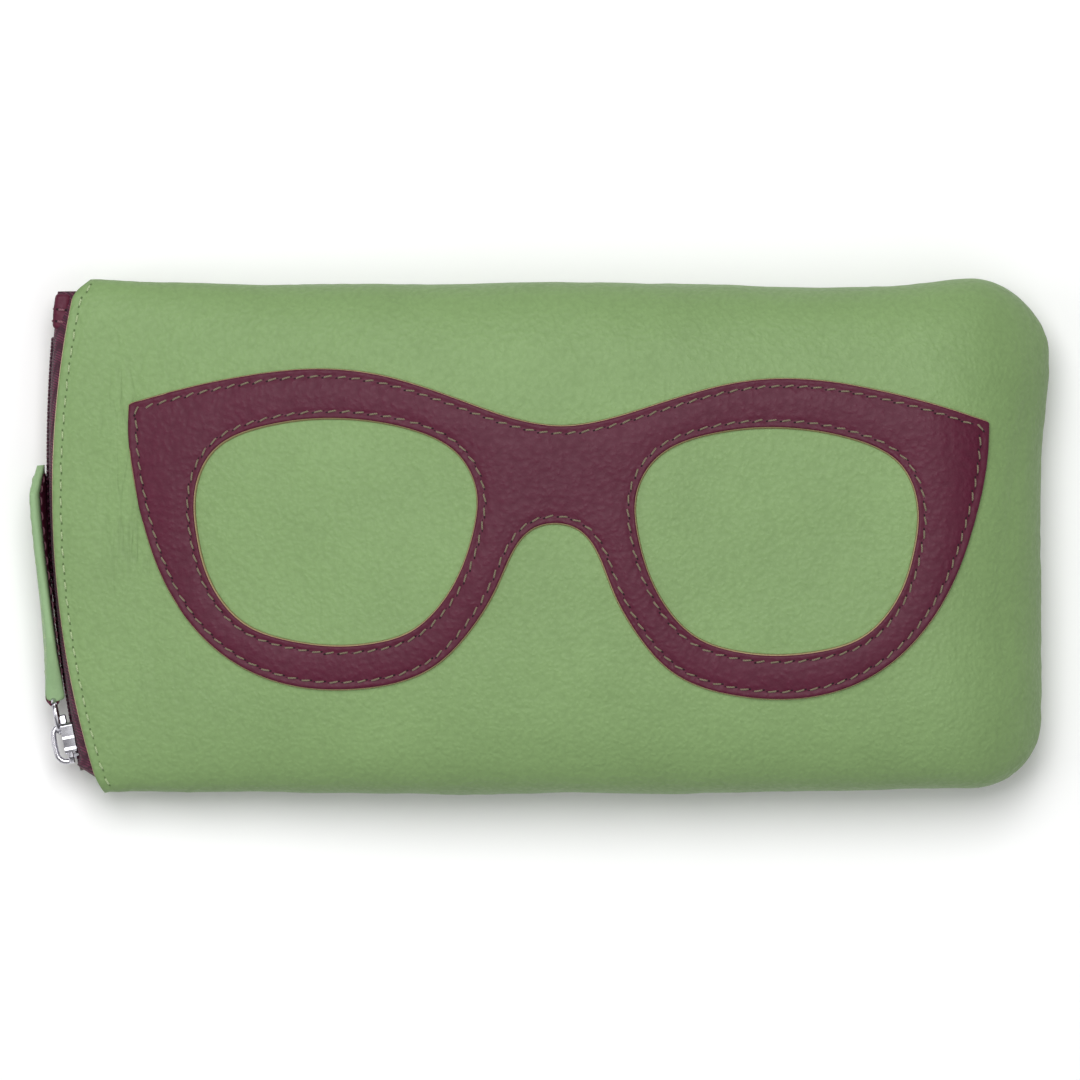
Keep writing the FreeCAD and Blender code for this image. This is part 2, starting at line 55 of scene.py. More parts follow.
# %% [markdown]
# The camera comes first, so that every later step can be judged through it. The case is seen
# straight from above. A long lens from far away keeps the sides from leaning outwards, which is how
# a catalogue shows such a case.
# %% Camera
VIEW_CENTRE = (0.62 * MM, -0.70 * MM)
VIEW_WIDTH = 190.1 * MM
VIEW_LEVEL = 0.009
CAMERA_DISTANCE = 5.0
camera_data = bpy.data.cameras.new("camera")
camera_data.sensor_width = 36
camera_data.lens = 36 * CAMERA_DISTANCE / VIEW_WIDTH
camera_data.clip_end = 20
camera = bpy.data.objects.new("camera", camera_data)
camera.location = (*VIEW_CENTRE, CAMERA_DISTANCE + VIEW_LEVEL)
bpy.context.scene.collection.objects.link(camera)
bpy.context.scene.camera = camera
print("lens in mm", round(camera_data.lens))

# %% [markdown]
# The light is soft and comes mostly from above the top edge, with a weak fill from the other side.
# Large lamps make broad, gentle highlights on grained leather. The sky is pale overhead and darker
# near the horizon, so that polished metal has something dark to mirror.
# %% Floor and lights
def area_light(name, place, size, power):
    """A square lamp that looks at the case."""
    data = bpy.data.lights.new(name, "AREA")
    data.size = size
    data.energy = power
    lamp = bpy.data.objects.new(name, data)
    lamp.location = place
    lamp.rotation_euler = (-Vector(place)).to_track_quat("-Z", "Y").to_euler()
    bpy.context.scene.collection.objects.link(lamp)


area_light("key_light", (-0.12, 0.45, 1.25), 0.8, 12.8)
area_light("fill_light", (0.4, -0.35, 1.1), 1.0, 2.4)
area_light("side_light", (-0.9, 0.0, 0.6), 0.6, 1.9)
world = bpy.data.worlds.new("world")
world.use_nodes = True
sky = world.node_tree
direction = sky.nodes.new("ShaderNodeTexCoord")
split = sky.nodes.new("ShaderNodeSeparateXYZ")
fade = sky.nodes.new("ShaderNodeValToRGB")
fade.color_ramp.elements[0].position = 0.05
fade.color_ramp.elements[0].color = (0.16, 0.16, 0.17, 1)
fade.color_ramp.elements[1].position = 0.8
fade.color_ramp.elements[1].color = (1, 1, 1, 1)
sky.links.new(direction.outputs["Generated"], split.inputs[0])
sky.links.new(split.outputs["Z"], fade.inputs["Fac"])
sky.links.new(fade.outputs["Color"], sky.nodes["Background"].inputs["Color"])
sky.nodes["Background"].inputs["Strength"].default_value = 0.4
bpy.context.scene.world = world
bpy.context.scene.view_settings.view_transform = "Standard"

floor_mesh = bpy.data.meshes.new("floor")
FLOOR = 2.0
floor_mesh.from_pydata([(-FLOOR, -FLOOR, 0), (FLOOR, -FLOOR, 0), (FLOOR, FLOOR, 0), (-FLOOR, FLOOR, 0)],
                       [], [(0, 1, 2, 3)])
floor = bpy.data.objects.new("floor", floor_mesh)
floor.location.z = -0.15 * MM
bpy.context.scene.collection.objects.link(floor)

# %% [markdown]
# A finish is a small network of nodes. This helper starts one: it makes the material, its shader
# and the coordinates that every pattern is laid out in. The coordinates are the object's own, in
# millimetres, so a pattern has its real size and stays put when a part moves.
# %% Node helper
class Finish:
    """A new material with its principled shader and a few shorthands for adding nodes."""

    def __init__(self, name, roughness=0.5, metallic=0.0):
        self.material = bpy.data.materials.new(name)
        self.material.use_nodes = True
        self.tree = self.material.node_tree
        self.shader = self.tree.nodes["Principled BSDF"]
        self.shader.inputs["Roughness"].default_value = roughness
        self.shader.inputs["Metallic"].default_value = metallic
        place = self.tree.nodes.new("ShaderNodeTexCoord")
        scale = self.tree.nodes.new("ShaderNodeVectorMath")
        scale.operation = "SCALE"
        scale.inputs["Scale"].default_value = 1000
        self.link(place.outputs["Object"], scale.inputs[0])
        self.place = scale.outputs[0]

    def link(self, a, b):
        self.tree.links.new(a, b)

    def noise(self, size, detail=3.0, roughness=0.5, warp=None):
        node = self.tree.nodes.new("ShaderNodeTexNoise")
        node.inputs["Scale"].default_value = 1 / size
        node.inputs["Detail"].default_value = detail
        node.inputs["Roughness"].default_value = roughness
        self.link(warp or self.place, node.inputs["Vector"])
        return node.outputs["Fac"]

    def warped(self, size, amount):
        """The coordinates, pushed about by a noise of this size."""
        node = self.tree.nodes.new("ShaderNodeTexNoise")
        node.inputs["Scale"].default_value = 1 / size
        self.link(self.place, node.inputs["Vector"])
        push = self.tree.nodes.new("ShaderNodeVectorMath")
        push.operation = "MULTIPLY_ADD"
        push.inputs[1].default_value = (amount, amount, amount)
        self.link(node.outputs["Color"], push.inputs[0])
        self.link(self.place, push.inputs[2])
        return push.outputs[0]

    def cells(self, size, feature, warp=None):
        node = self.tree.nodes.new("ShaderNodeTexVoronoi")
        node.feature = feature
        node.inputs["Scale"].default_value = 1 / size
        self.link(warp or self.place, node.inputs["Vector"])
        return node.outputs["Distance"]

    def ramp(self, value, *stops):
        """A colour ramp; each stop is a place from 0 to 1 and a grey or a colour."""
        node = self.tree.nodes.new("ShaderNodeValToRGB")
        elements = node.color_ramp.elements
        while len(elements) < len(stops):
            elements.new(0.5)
        for element, (position, colour) in zip(elements, stops):
            element.position = position
            grey = isinstance(colour, (int, float))
            element.color = (colour, colour, colour, 1) if grey else (*colour, 1)
        self.link(value, node.inputs["Fac"])
        return node.outputs["Color"]

    def mix(self, share, a, b, blend="MIX"):
        node = self.tree.nodes.new("ShaderNodeMix")
        node.data_type = "RGBA"
        node.blend_type = blend
        for socket, value in zip((node.inputs[0], node.inputs[6], node.inputs[7]), (share, a, b)):
            if hasattr(value, "links"):
                self.link(value, socket)
            else:
                socket.default_value = value if isinstance(value, (int, float)) else (*value, 1)
        return node.outputs[2]

    def sum(self, a, b, share):
        """a plus share times b."""
        node = self.tree.nodes.new("ShaderNodeMath")
        node.operation = "MULTIPLY_ADD"
        node.inputs[1].default_value = share
        self.link(b, node.inputs[0])
        self.link(a, node.inputs[2])
        return node.outputs[0]

    def colour(self, value):
        self.link(value, self.shader.inputs["Base Color"])

    def rough(self, value, low, high):
        self.link(self.ramp(value, (0, low), (1, high)), self.shader.inputs["Roughness"])

    def bump(self, height, depth):
        """Bumps of this depth in millimetres."""
        node = self.tree.nodes.new("ShaderNodeBump")
        node.inputs["Distance"].default_value = depth * MM
        node.inputs["Strength"].default_value = 1.0
        self.link(height, node.inputs["Height"])
        self.link(node.outputs["Normal"], self.shader.inputs["Normal"])


def srgb(red, green, blue):
    """A colour given as a screen shows it, from 0 to 255, as the shader wants it."""
    shares = [c / 255 for c in (red, green, blue)]
    return tuple(((c + 0.055) / 1.055) ** 2.4 if c > 0.04 else c / 12.92 for c in shares)


# %% [markdown]
# The leather is soft, finely grained cowhide. Rounded pebbles about a millimetre across cover it,
# with shallow valleys between them. Smooth cells from a Voronoi texture, pushed out of line by noise,
# give the pebbles, and finer noise gives the pores. The valleys, and the folds, are painted a little
# darker as shade, and broad noise keeps the colour from looking even.
# %% Leather
def fold_lines(finish, spots):
    """Thin folds drawn out along y, which fade away outside the given spots."""
    drawn_out = finish.tree.nodes.new("ShaderNodeMapping")
    drawn_out.inputs["Scale"].default_value = (1.0, 0.17, 0.3)
    drawn_out.inputs["Rotation"].default_value = (0, 0, math.radians(6))
    finish.link(finish.place, drawn_out.inputs["Vector"])
    level = finish.noise(1.9, 2, 0.4, drawn_out.outputs["Vector"])
    lines = finish.ramp(level, (0.43, 0), (0.5, 1), (0.57, 0))
    total = None
    for centre, reach in spots:
        shifted = finish.tree.nodes.new("ShaderNodeVectorMath")
        shifted.operation = "MULTIPLY_ADD"
        shifted.inputs[1].default_value = tuple(1 / r for r in reach)
        shifted.inputs[2].default_value = tuple(-c / r for c, r in zip(centre, reach))
        finish.link(finish.place, shifted.inputs[0])
        far = finish.tree.nodes.new("ShaderNodeVectorMath")
        far.operation = "LENGTH"
        finish.link(shifted.outputs[0], far.inputs[0])
        near = finish.ramp(far.outputs["Value"], (0.3, 1), (1.0, 0))
        total = finish.mix(1.0, total, near, "LIGHTEN") if total else near
    return finish.mix(1.0, lines, total, "MULTIPLY")


def leather(name, tint, spread, pebble=1.0, depth=0.13, gloss=0.5, valley_shade_strength=0.03, folds=()):
    """Leather of a colour; spread is how far the dye wanders. The valleys between the pebbles are painted
    darker by the given share, as shade.
    """
    finish = Finish(name, gloss)
    warp = finish.warped(2.4, 1.1)
    pebbles = finish.cells(pebble, "SMOOTH_F1", warp)
    pores = finish.noise(0.45, 3, 0.6)
    patches = finish.noise(2.2, 2)
    broad = finish.noise(19, 4, 0.55)
    shadow = tuple(c * (1 - spread) for c in tint)
    light = tuple(c * (1 + spread) for c in tint)
    base = finish.mix(finish.ramp(broad, (0.3, 0), (0.7, 1)), shadow, light)
    # Painted shade: the valleys between the pebbles are coloured darker.
    painted_valley_shade = finish.ramp(pebbles, (0.2, 1 + valley_shade_strength), (0.75, 1 - 1.4 * valley_shade_strength))
    base = finish.mix(1.0, base, painted_valley_shade, "MULTIPLY")
    speckle = finish.ramp(finish.sum(pores, patches, 0.4), (0.4, 0.965), (0.95, 1.035))
    dye_and_shade = finish.mix(1.0, base, speckle, "MULTIPLY")
    height = finish.ramp(pebbles, (0.1, 1.0), (0.8, 0.0))
    height = finish.sum(finish.sum(height, pores, 0.6), patches, 0.35)
    if folds:
        lines = fold_lines(finish, folds)
        # Painted shade: the folds are coloured up to a tenth darker.
        dye_and_shade = finish.mix(1.0, dye_and_shade, finish.ramp(lines, (0, 1), (1, 0.9)), "MULTIPLY")
        height = finish.sum(height, lines, -0.9)
    finish.colour(dye_and_shade)
    finish.rough(pebbles, gloss - 0.05, gloss + 0.12)
    finish.bump(height, depth)
    finish.shader.inputs["Specular IOR Level"].default_value = 0.26
    return finish.material


FOLDED = (((-71.5, 2, 20), (5.5, 18, 30)), ((-72, 24, 20), (4, 9, 30)))
GREEN = leather("green_leather", srgb(123, 151, 98), 0.04, 0.8, 0.105, 0.5, 0.035, FOLDED)
MAROON = leather("maroon_leather", srgb(81, 20, 44), 0.05, 1.0, 0.1, 0.5, 0.05)
# A lighter copy of the case's green leather for the strap: painted light, standing for the highlight on the
# strap.
LIT_STRAP_GREEN = leather("lit_strap_green_leather", srgb(139, 169, 125), 0.03, 0.8, 0.03, 0.5, 0.01)
print("leathers", GREEN.name, MAROON.name, LIT_STRAP_GREEN.name)

# %% [markdown]
# Where leather is cut, its raw, undyed middle shows as a thin pale line of matted fibres.
# %% Cut edge
def cut_edge(name, pale, dark):
    finish = Finish(name, 0.85)
    fibres = finish.noise(0.16, 4, 0.7)
    finish.colour(finish.mix(finish.ramp(fibres, (0.35, 0), (0.65, 1)), pale, dark))
    finish.bump(fibres, 0.06)
    return finish.material


GREEN_EDGE = cut_edge("green_cut_edge", srgb(218, 194, 164), srgb(184, 158, 128))
MAROON_EDGE = cut_edge("maroon_cut_edge", srgb(216, 190, 150), srgb(178, 150, 112))

# %% [markdown]
# Thread is twisted from fine plies. A wave texture laid slantwise draws the plies, and a little
# sheen stands for the loose fibres.
# %% Thread
def thread(name, light, dark):
    finish = Finish(name, 0.62)
    wave = finish.tree.nodes.new("ShaderNodeTexWave")
    wave.bands_direction = "DIAGONAL"
    wave.inputs["Scale"].default_value = 1.6
    wave.inputs["Distortion"].default_value = 1.2
    finish.link(finish.place, wave.inputs["Vector"])
    finish.colour(finish.mix(wave.outputs["Fac"], dark, light))
    finish.bump(wave.outputs["Fac"], 0.08)
    finish.shader.inputs["Sheen Weight"].default_value = 0.2
    return finish.material


OLIVE_THREAD = thread("olive_thread", srgb(136, 124, 98), srgb(104, 92, 72))
GREEN_THREAD = thread("green_thread", srgb(186, 206, 156), srgb(150, 174, 122))
MAROON_THREAD = thread("maroon_thread", srgb(150, 96, 108), srgb(104, 60, 74))
# A darker copy of the maroon thread: painted shade, for the stitches on the pull's lining, which lies in
# shade.
SHADED_LINING_THREAD = thread("dark_maroon_thread", srgb(104, 50, 66), srgb(72, 30, 44))


def hole_shade(name, tone):
    """The painted shade in a needle hole."""
    finish = Finish(name, 0.9)
    finish.colour(finish.mix(finish.noise(0.2, 2), tone, tuple(0.6 * c for c in tone)))
    return finish.material


MAROON_HOLE_SHADE = hole_shade("maroon_needle_hole_shade", srgb(46, 14, 26))
GREEN_HOLE_SHADE = hole_shade("green_needle_hole_shade", srgb(108, 136, 84))

# %% [markdown]
# The zip tape and the lining are woven. Two sets of yarns cross slantwise; each set is a wave
# texture, and where both dip there is a small gap, painted dark as shade. The share of light yarn
# drives the colour and the bumps.
# %% Woven cloth
def weave(name, light, dark, yarn, depth):
    finish = Finish(name, 0.85)
    bands = []
    for slant in (1, -1):
        turned = finish.tree.nodes.new("ShaderNodeMapping")
        turned.inputs["Rotation"].default_value = (math.radians(50 * slant), math.radians(50 * slant),
                                                   math.radians(50 * slant))
        finish.link(finish.place, turned.inputs["Vector"])
        wave = finish.tree.nodes.new("ShaderNodeTexWave")
        wave.bands_direction = "Y"
        wave.inputs["Scale"].default_value = 0.314 / yarn
        wave.inputs["Distortion"].default_value = 0.8
        finish.link(turned.outputs["Vector"], wave.inputs["Vector"])
        bands.append(wave.outputs["Fac"])
    cross = finish.mix(1.0, bands[0], bands[1], "MULTIPLY")
    fuzz = finish.noise(yarn * 0.7, 3)
    share = finish.ramp(finish.sum(cross, fuzz, 0.25), (0.15, 0), (0.75, 1))
    # Painted shade: the gaps between the yarns take the dark colour.
    finish.colour(finish.mix(share, dark, light))
    finish.bump(share, depth)
    finish.shader.inputs["Sheen Weight"].default_value = 0.1
    return finish.material


TAPE = weave("zip_tape_weave", srgb(104, 42, 68), srgb(58, 20, 38), 0.42, 0.16)
LINING = weave("lining_weave", srgb(122, 104, 112), srgb(92, 76, 84), 0.3, 0.06)
FELT = weave("padding_felt", srgb(232, 230, 222), srgb(205, 202, 192), 0.8, 0.2)

# %% [markdown]
# The slider, crown and ring are cast and nickel plated. Fine noise in the roughness breaks up the
# mirror, as handling does. The coils are moulded plastic thread, dyed like the tape.
# %% Metal and plastic
def plated(name, dull, bright):
    finish = Finish(name, 0.2, 1.0)
    wear = finish.noise(1.4, 4, 0.6)
    finish.colour(finish.mix(finish.ramp(wear, (0.3, 0), (0.7, 1)), dull, bright))
    finish.rough(wear, 0.15, 0.22)
    return finish.material


def moulded(name, light, dark):
    finish = Finish(name, 0.55)
    finish.colour(finish.mix(finish.noise(0.6, 3), dark, light))
    finish.shader.inputs["Specular IOR Level"].default_value = 0.25
    finish.bump(finish.noise(0.15, 2), 0.02)
    return finish.material


NICKEL = plated("nickel_plate", srgb(186, 184, 192), srgb(208, 207, 213))
STOP_METAL = plated("dark_nickel", srgb(92, 84, 80), srgb(120, 112, 106))
COIL = moulded("coil_plastic", srgb(84, 36, 58), srgb(56, 22, 38))
floor_finish = Finish("pale_floor", 0.9)
floor_finish.colour(floor_finish.mix(floor_finish.noise(300, 2), (0.93, 0.93, 0.93), (0.95, 0.95, 0.95)))
floor_mesh.materials.append(floor_finish.material)
print("materials", len(bpy.data.materials))

# %% [markdown]
# Every piece is built from plain lists of points and faces. This helper turns such lists, given in
# millimetres, into an object in metres that rides on a body of the working model, and hides the
# parts of the model that the piece stands for.
# %% Piece helper
def piece(name, points, faces, materials, body, slot, nodes, face_material=None, smooth=True):
    mesh = bpy.data.meshes.new(name)
    mesh.from_pydata([tuple(float(c) * MM for c in p) for p in points], [], faces)
    for material in materials:
        mesh.materials.append(material)
    if face_material is not None:
        mesh.polygons.foreach_set("material_index", np.asarray(face_material, dtype=np.int32))
    mesh.polygons.foreach_set("use_smooth", [smooth] * len(mesh.polygons))
    mesh.validate()
    mesh.update()
    made = bpy.data.objects.new(name, mesh)
    bpy.context.scene.collection.objects.link(made)
    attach(made, body)
    if nodes:
        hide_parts(*nodes)
    print(name, "points", len(mesh.vertices), "faces", len(mesh.polygons))
    return made


def grid_faces(rows, columns, closed=False, start=0):
    """Quads over a grid of points, row by row; closed joins the last column to the first."""
    faces = []
    for i in range(rows - 1):
        for j in range(columns if closed else columns - 1):
            k = (j + 1) % columns
            a, b = start + i * columns, start + (i + 1) * columns
            faces.append((a + j, b + j, b + k, a + k))
    return faces


def tube_faces(rows, sides):
    """Faces of a tube of rows of points, with both its ends closed."""
    last = (rows - 1) * sides
    ends = [tuple(reversed(range(sides))), tuple(last + k for k in range(sides))]
    return grid_faces(rows, sides, closed=True) + ends


def circle(sides):
    """Cosine and sine at even steps round a circle."""
    turns = [2 * math.pi * k / sides for k in range(sides)]
    return [(math.cos(turn), math.sin(turn)) for turn in turns]


def squared(value, power):
    """A cosine or sine pushed outwards, which makes a circle squarer."""
    return math.copysign(abs(value) ** power, value)


def joined(parts):
    """Joins (points, faces) pairs into one pair."""
    points, faces = [], []
    for shape, shape_faces in parts:
        start = len(points)
        points += list(shape)
        faces += [tuple(start + v for v in f) for f in shape_faces]
    return points, faces


def apply_modifiers(made):
    """Bakes an object's modifiers into its mesh."""
    finished = made.evaluated_get(bpy.context.evaluated_depsgraph_get())
    mesh = bpy.data.meshes.new_from_object(finished)
    made.modifiers.clear()
    made.data = mesh


def sheet_size(grid):
    """Width, length and area in metres of a grid of points in millimetres, measured along the cloth."""
    rows, columns = grid.shape[:2]
    along = np.linalg.norm(np.diff(grid, axis=0), axis=-1)
    across = np.linalg.norm(np.diff(grid, axis=1), axis=-1)
    area = 0.5 * (along[:, :-1] * across[:-1] + along[:, 1:] * across[1:]).sum()
    return float(across.sum(1).max()) * MM, float(along.sum(0).max()) * MM, float(area) * MM * MM


def hump(x, centre, width):
    """A smooth bump of height 1 at the centre, fading over about the width on both sides."""
    return np.exp(-(((x - centre) / width) ** 2))


def ease(x):
    """0 below 0, 1 above 1 and a smooth step between."""
    x = np.clip(x, 0, 1)
    return x * x * (3 - 2 * x)


# %% [markdown]
# The case's skin is worked out, not drawn. Across the case its section is a squared-off arch; along
# it, the arch grows from the flat mouth to full height and closes again at the far end. The mouth is
# cut along an arc. Real leather never keeps to a ruler: the long edges wander by a few tenths of a
# millimetre, and the far end swells at its upper corner.
# %% The shape of the case
panel_low, panel_high = (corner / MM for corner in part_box("front_leather_panel"))
SEAM = (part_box("back_leather_panel")[1] / MM).z
MOUTH_X = panel_low.x
END_X = panel_high.x
TOP = panel_high.z
MOUTH_CENTRE = np.array([83.3, 7.65])
MOUTH_RADIUS = MOUTH_CENTRE[0] - MOUTH_X
MOUTH_RISE = 6.0
END_ROUNDING = 22.0
LEATHER = 1.2
CORNERS = {1: 13.0, -1: 13.2}


def long_edge(x, side):
    """How far the upper (side 1) or lower edge lies from the middle line."""
    if side > 0:
        waves = (1.0 * hump(x, -80, 9) + 0.35 * hump(x, 6, 14)
                 - 0.6 * hump(x, 47, 14) + 0.9 * hump(x, 78, 9))
        return 44.4 + waves
    return 44.85 + 0.5 * hump(x, -2, 45) - 0.4 * hump(x, 76, 14) + 0.5 * hump(x, -76.5, 4.5)


def closed_end(y):
    """How far the closed end reaches at this height up the picture."""
    return END_X - 0.8 + 1.45 * hump(y, 30, 11) + 0.1 * hump(y, -24, 12)


def half_width(x, side):
    radius = CORNERS[side]
    past = np.clip(x - (END_X - radius), 0, radius)
    return long_edge(x, side) - radius + np.sqrt(np.maximum(radius * radius - past * past, 0))


def arch_height(x, front):
    """Height of the arch over the middle line, before the closed end rounds it off."""
    along = np.clip((x - MOUTH_X) / (95 if front else 45), -1, 1)
    full = TOP - SEAM if front else SEAM + 1.0
    return MOUTH_RISE + (full - MOUTH_RISE) * np.sin(math.pi / 2 * along)


def end_taper(x):
    past = np.clip((x - (END_X - END_ROUNDING)) / END_ROUNDING, 0, 1)
    return np.sqrt(np.maximum(1 - past * past, 0))


def even_arch(count, power):
    """Shares (across from 1 to -1, up from 0 to 1) at even steps along a squared-off arch."""
    turn = np.linspace(0, math.pi, 4001)
    across = np.sign(np.cos(turn)) * np.abs(np.cos(turn)) ** (2 / power)
    up = np.sin(turn) ** (2 / power)
    up[[0, -1]] = 0
    run = np.concatenate([[0], np.cumsum(np.hypot(np.diff(across * 45), np.diff(up * 16)))])
    goal = np.linspace(0, run[-1], count)
    return np.interp(goal, run, across), np.interp(goal, run, up)


def stations(step):
    """Places along the case, closer together where the closed end rounds off."""
    start = END_X - END_ROUNDING
    plain = np.linspace(MOUTH_X, start, int((start - MOUTH_X) / step))
    turn = np.linspace(0, math.radians(88.5), int(END_ROUNDING * 1.5 / step))[1:]
    return np.concatenate([plain, start + END_ROUNDING * np.sin(turn)])


def corner_sweep(y):
    """How far the mouth's edge draws back where it turns round the case's sides."""
    return np.where(y > 0, 2.5, 0.9) * np.clip((np.abs(y) - 41.4) / 3.7, 0, 1.1) ** 1.8


def skin_grid(front, step, inset=0.0, setback=0.0):
    """Rows of points on the case's skin: rows run along the case, columns across it."""
    across, up = even_arch(int(118 / step), 4.0)
    xs = stations(step)
    x = np.repeat(xs[:, None], len(across), 1)
    y = np.where(across > 0, half_width(x, 1), half_width(x, -1)) * across
    mouth = MOUTH_CENTRE[0] - np.sqrt((MOUTH_RADIUS - setback) ** 2 - (y - MOUTH_CENTRE[1]) ** 2)
    swept = corner_sweep(y)
    x = x + (mouth - MOUTH_X) * (1 - ease((x - MOUTH_X) / 45)) + swept * (1 - ease((x - MOUTH_X) / 30))
    y = np.where(across > 0, half_width(x, 1), half_width(x, -1)) * across
    crown = 0.94 + 0.06 * (1 - across ** 2)
    rise = arch_height(x, front) * end_taper(x) * up * crown
    x = x + (closed_end(y) - END_X) * ease((x - 50) / 38)
    z = SEAM + rise if front else SEAM - rise
    grid = np.stack([x, y, z], -1)
    if inset:
        grid = grid + normals_of(grid, front) * -inset
    return grid


def normals_of(grid, front):
    along = np.gradient(grid, axis=0)
    across = np.gradient(grid, axis=1)
    normal = np.cross(across, along) if front else np.cross(along, across)
    normal[-2:] = normal[-3]
    for _ in range(3):
        normal = normal / np.maximum(np.linalg.norm(normal, axis=-1, keepdims=True), 1e-9)
        wide = np.pad(normal, ((1, 1), (1, 1), (0, 0)), mode="edge")
        normal = (wide[:-2, 1:-1] + wide[2:, 1:-1] + wide[1:-1, :-2] + wide[1:-1, 2:]) / 4 + normal / 2
    return normal / np.linalg.norm(normal, axis=-1, keepdims=True)


print("case from", round(MOUTH_X, 1), "to", round(END_X, 1), "mm, seam at", round(SEAM, 1))

# %% [markdown]
# Now the softness. Noise moves the skin in and out by tenths of a millimetre: broad swells where the
# padding is uneven, and finer ripples. A few soft creases run beside the mouth, where the leather
# bends as the case opens. Along the mouth the stitching pulls the leather down, and along the
# turned seam at the sides the two panels dip towards each other and pucker.
# %% Softness
CREASES = ((-73.0, 17, 13, 0.25, 1.0), (-70.0, 9, 20, 0.2, 1.1), (-66.5, 24, 10, 0.15, 1.0),
           (-76.0, 4, 10, 0.22, 0.9), (-63.0, -4, 14, 0.14, 1.1), (-77.5, 27, 8, 0.18, 0.9),
           (-71.0, -24, 9, 0.18, 1.0), (-68.0, -33, 6, 0.14, 0.9), (84.0, 10, 20, 0.26, 1.4),
           (80.0, -14, 16, 0.20, 1.3))
REST_EASE = 0.6


def soften(grid, front):
    """Moves the points of a skin grid along its normals, as the soft leather does. The back is
    pressed flat, without a sharp edge, where it would sink into the table."""
    normal = normals_of(grid, front)
    x, y, z = grid[..., 0], grid[..., 1], grid[..., 2]
    flat = grid.reshape(-1, 3)
    broad = [noise.noise(Vector(p) / 21.0) for p in flat]
    ripple = [noise.noise(Vector(p) / 7.5 + Vector((9, 4, 2))) for p in flat]
    pucker = [noise.noise(Vector((p[0] / 2.4, p[1] / 2.4, 3.0))) for p in flat]
    broad, ripple, pucker = (np.array(values).reshape(x.shape) for values in (broad, ripple, pucker))
    near_seam = np.exp(-((z - SEAM) / 1.1) ** 2)
    inside = MOUTH_RADIUS - np.hypot(x - MOUTH_CENTRE[0], y - MOUTH_CENTRE[1])
    move = 0.42 * broad + 0.16 * ripple
    for place, middle, length, depth, width in CREASES if front else ():
        line = place + 1.2 * np.sin((y - middle) / 9) + 0.004 * (y - 7) ** 2
        move -= depth * hump(x, line, width) * hump(y, middle, length)
    move *= ease(inside / 8)
    side_wall = ease((3.5 - np.abs(z - SEAM)) / 3.5)
    move -= 0.55 * near_seam + 0.25 * side_wall * pucker
    move -= 0.22 * hump(inside, 1.45, 0.9)
    moved = grid + normal * move[..., None]
    if not front:
        z = moved[..., 2]
        pressed = REST_EASE - REST_EASE * np.tanh((REST_EASE - z) / REST_EASE)
        moved[..., 2] = np.where(z < REST_EASE, pressed, z)
    return moved


def closed_sheet(name, outer, inner, faces, materials, slot, nodes, cut_points=None):
    """A closed form from two layers with the same faces. Its rim takes the second material, all round
    or only between the first few points."""
    count = len(outer)
    pairs = {(f[k], f[(k + 1) % len(f)]) for f in faces for k in range(len(f))}
    walls = [(a, a + count, b + count, b) for a, b in sorted(pairs) if (b, a) not in pairs]
    inner_faces = [tuple(v + count for v in f[::-1]) for f in faces]
    finish = [0] * len(faces) + [1 if slot == "maroon_leather" else 0] * len(faces)
    finish += [1 if cut_points is None or max(wall[0], wall[3]) < cut_points else 0 for wall in walls]
    points = list(outer) + list(inner)
    return piece(name, points, faces + inner_faces + walls, materials, "case", slot, nodes, finish)


def panel(name, front, node):
    """One leather panel: the soft skin, its inner face, and the cut edge, which shows at the mouth."""
    grid = soften(skin_grid(front, 0.8), front)
    faces = grid_faces(*grid.shape[:2])
    if front:
        faces = [face[::-1] for face in faces]
    inner = grid - normals_of(grid, front) * LEATHER
    inner[0, :, 0] -= 0.22
    made = closed_sheet(name, grid.reshape(-1, 3), inner.reshape(-1, 3), faces, [GREEN, GREEN_EDGE],
                        "green_leather", [node], grid.shape[1])
    width, length, area = sheet_size(grid)
    print(name, "from", round(width, 3), "by", round(length, 3), "m of leather")
    return made, grid, faces


front_panel, front_grid, front_faces = panel("front_leather", True, "front_leather_panel")
back_panel, back_grid, back_faces = panel("back_leather", False, "back_leather_panel")
front_tree = BVHTree.FromPolygons([tuple(p) for p in front_grid.reshape(-1, 3)], front_faces)
back_tree = BVHTree.FromPolygons([tuple(p) for p in back_grid.reshape(-1, 3)], back_faces)


def laid_on(tree, side, level):
    """A function that gives the point of a skin over (side 1) or under a place, and its normal."""
    def lay(x, y):
        hit, normal, _, _ = tree.ray_cast(Vector((x, y, 60 * side)), Vector((0, 0, -side)))
        if hit is None:
            hit, normal, _, _ = tree.find_nearest(Vector((x, y, level)))
        return hit, (normal if normal.z * side > 0 else -normal)
    return lay


on_front = laid_on(front_tree, 1, SEAM + 3)
on_back = laid_on(back_tree, -1, 3)

# %% [markdown]
# Inside each panel lies a soft felt pad, and inside that a woven lining. They are hidden while the
# zip is shut, but they belong to the case, so they follow the same skin further in.
# %% Padding and lining
# Depth under the skin, thickness and distance from the mouth.
PADDING = (1.9, 1.7, 10.5)
CLOTH = (4.0, 0.35, 4.0)


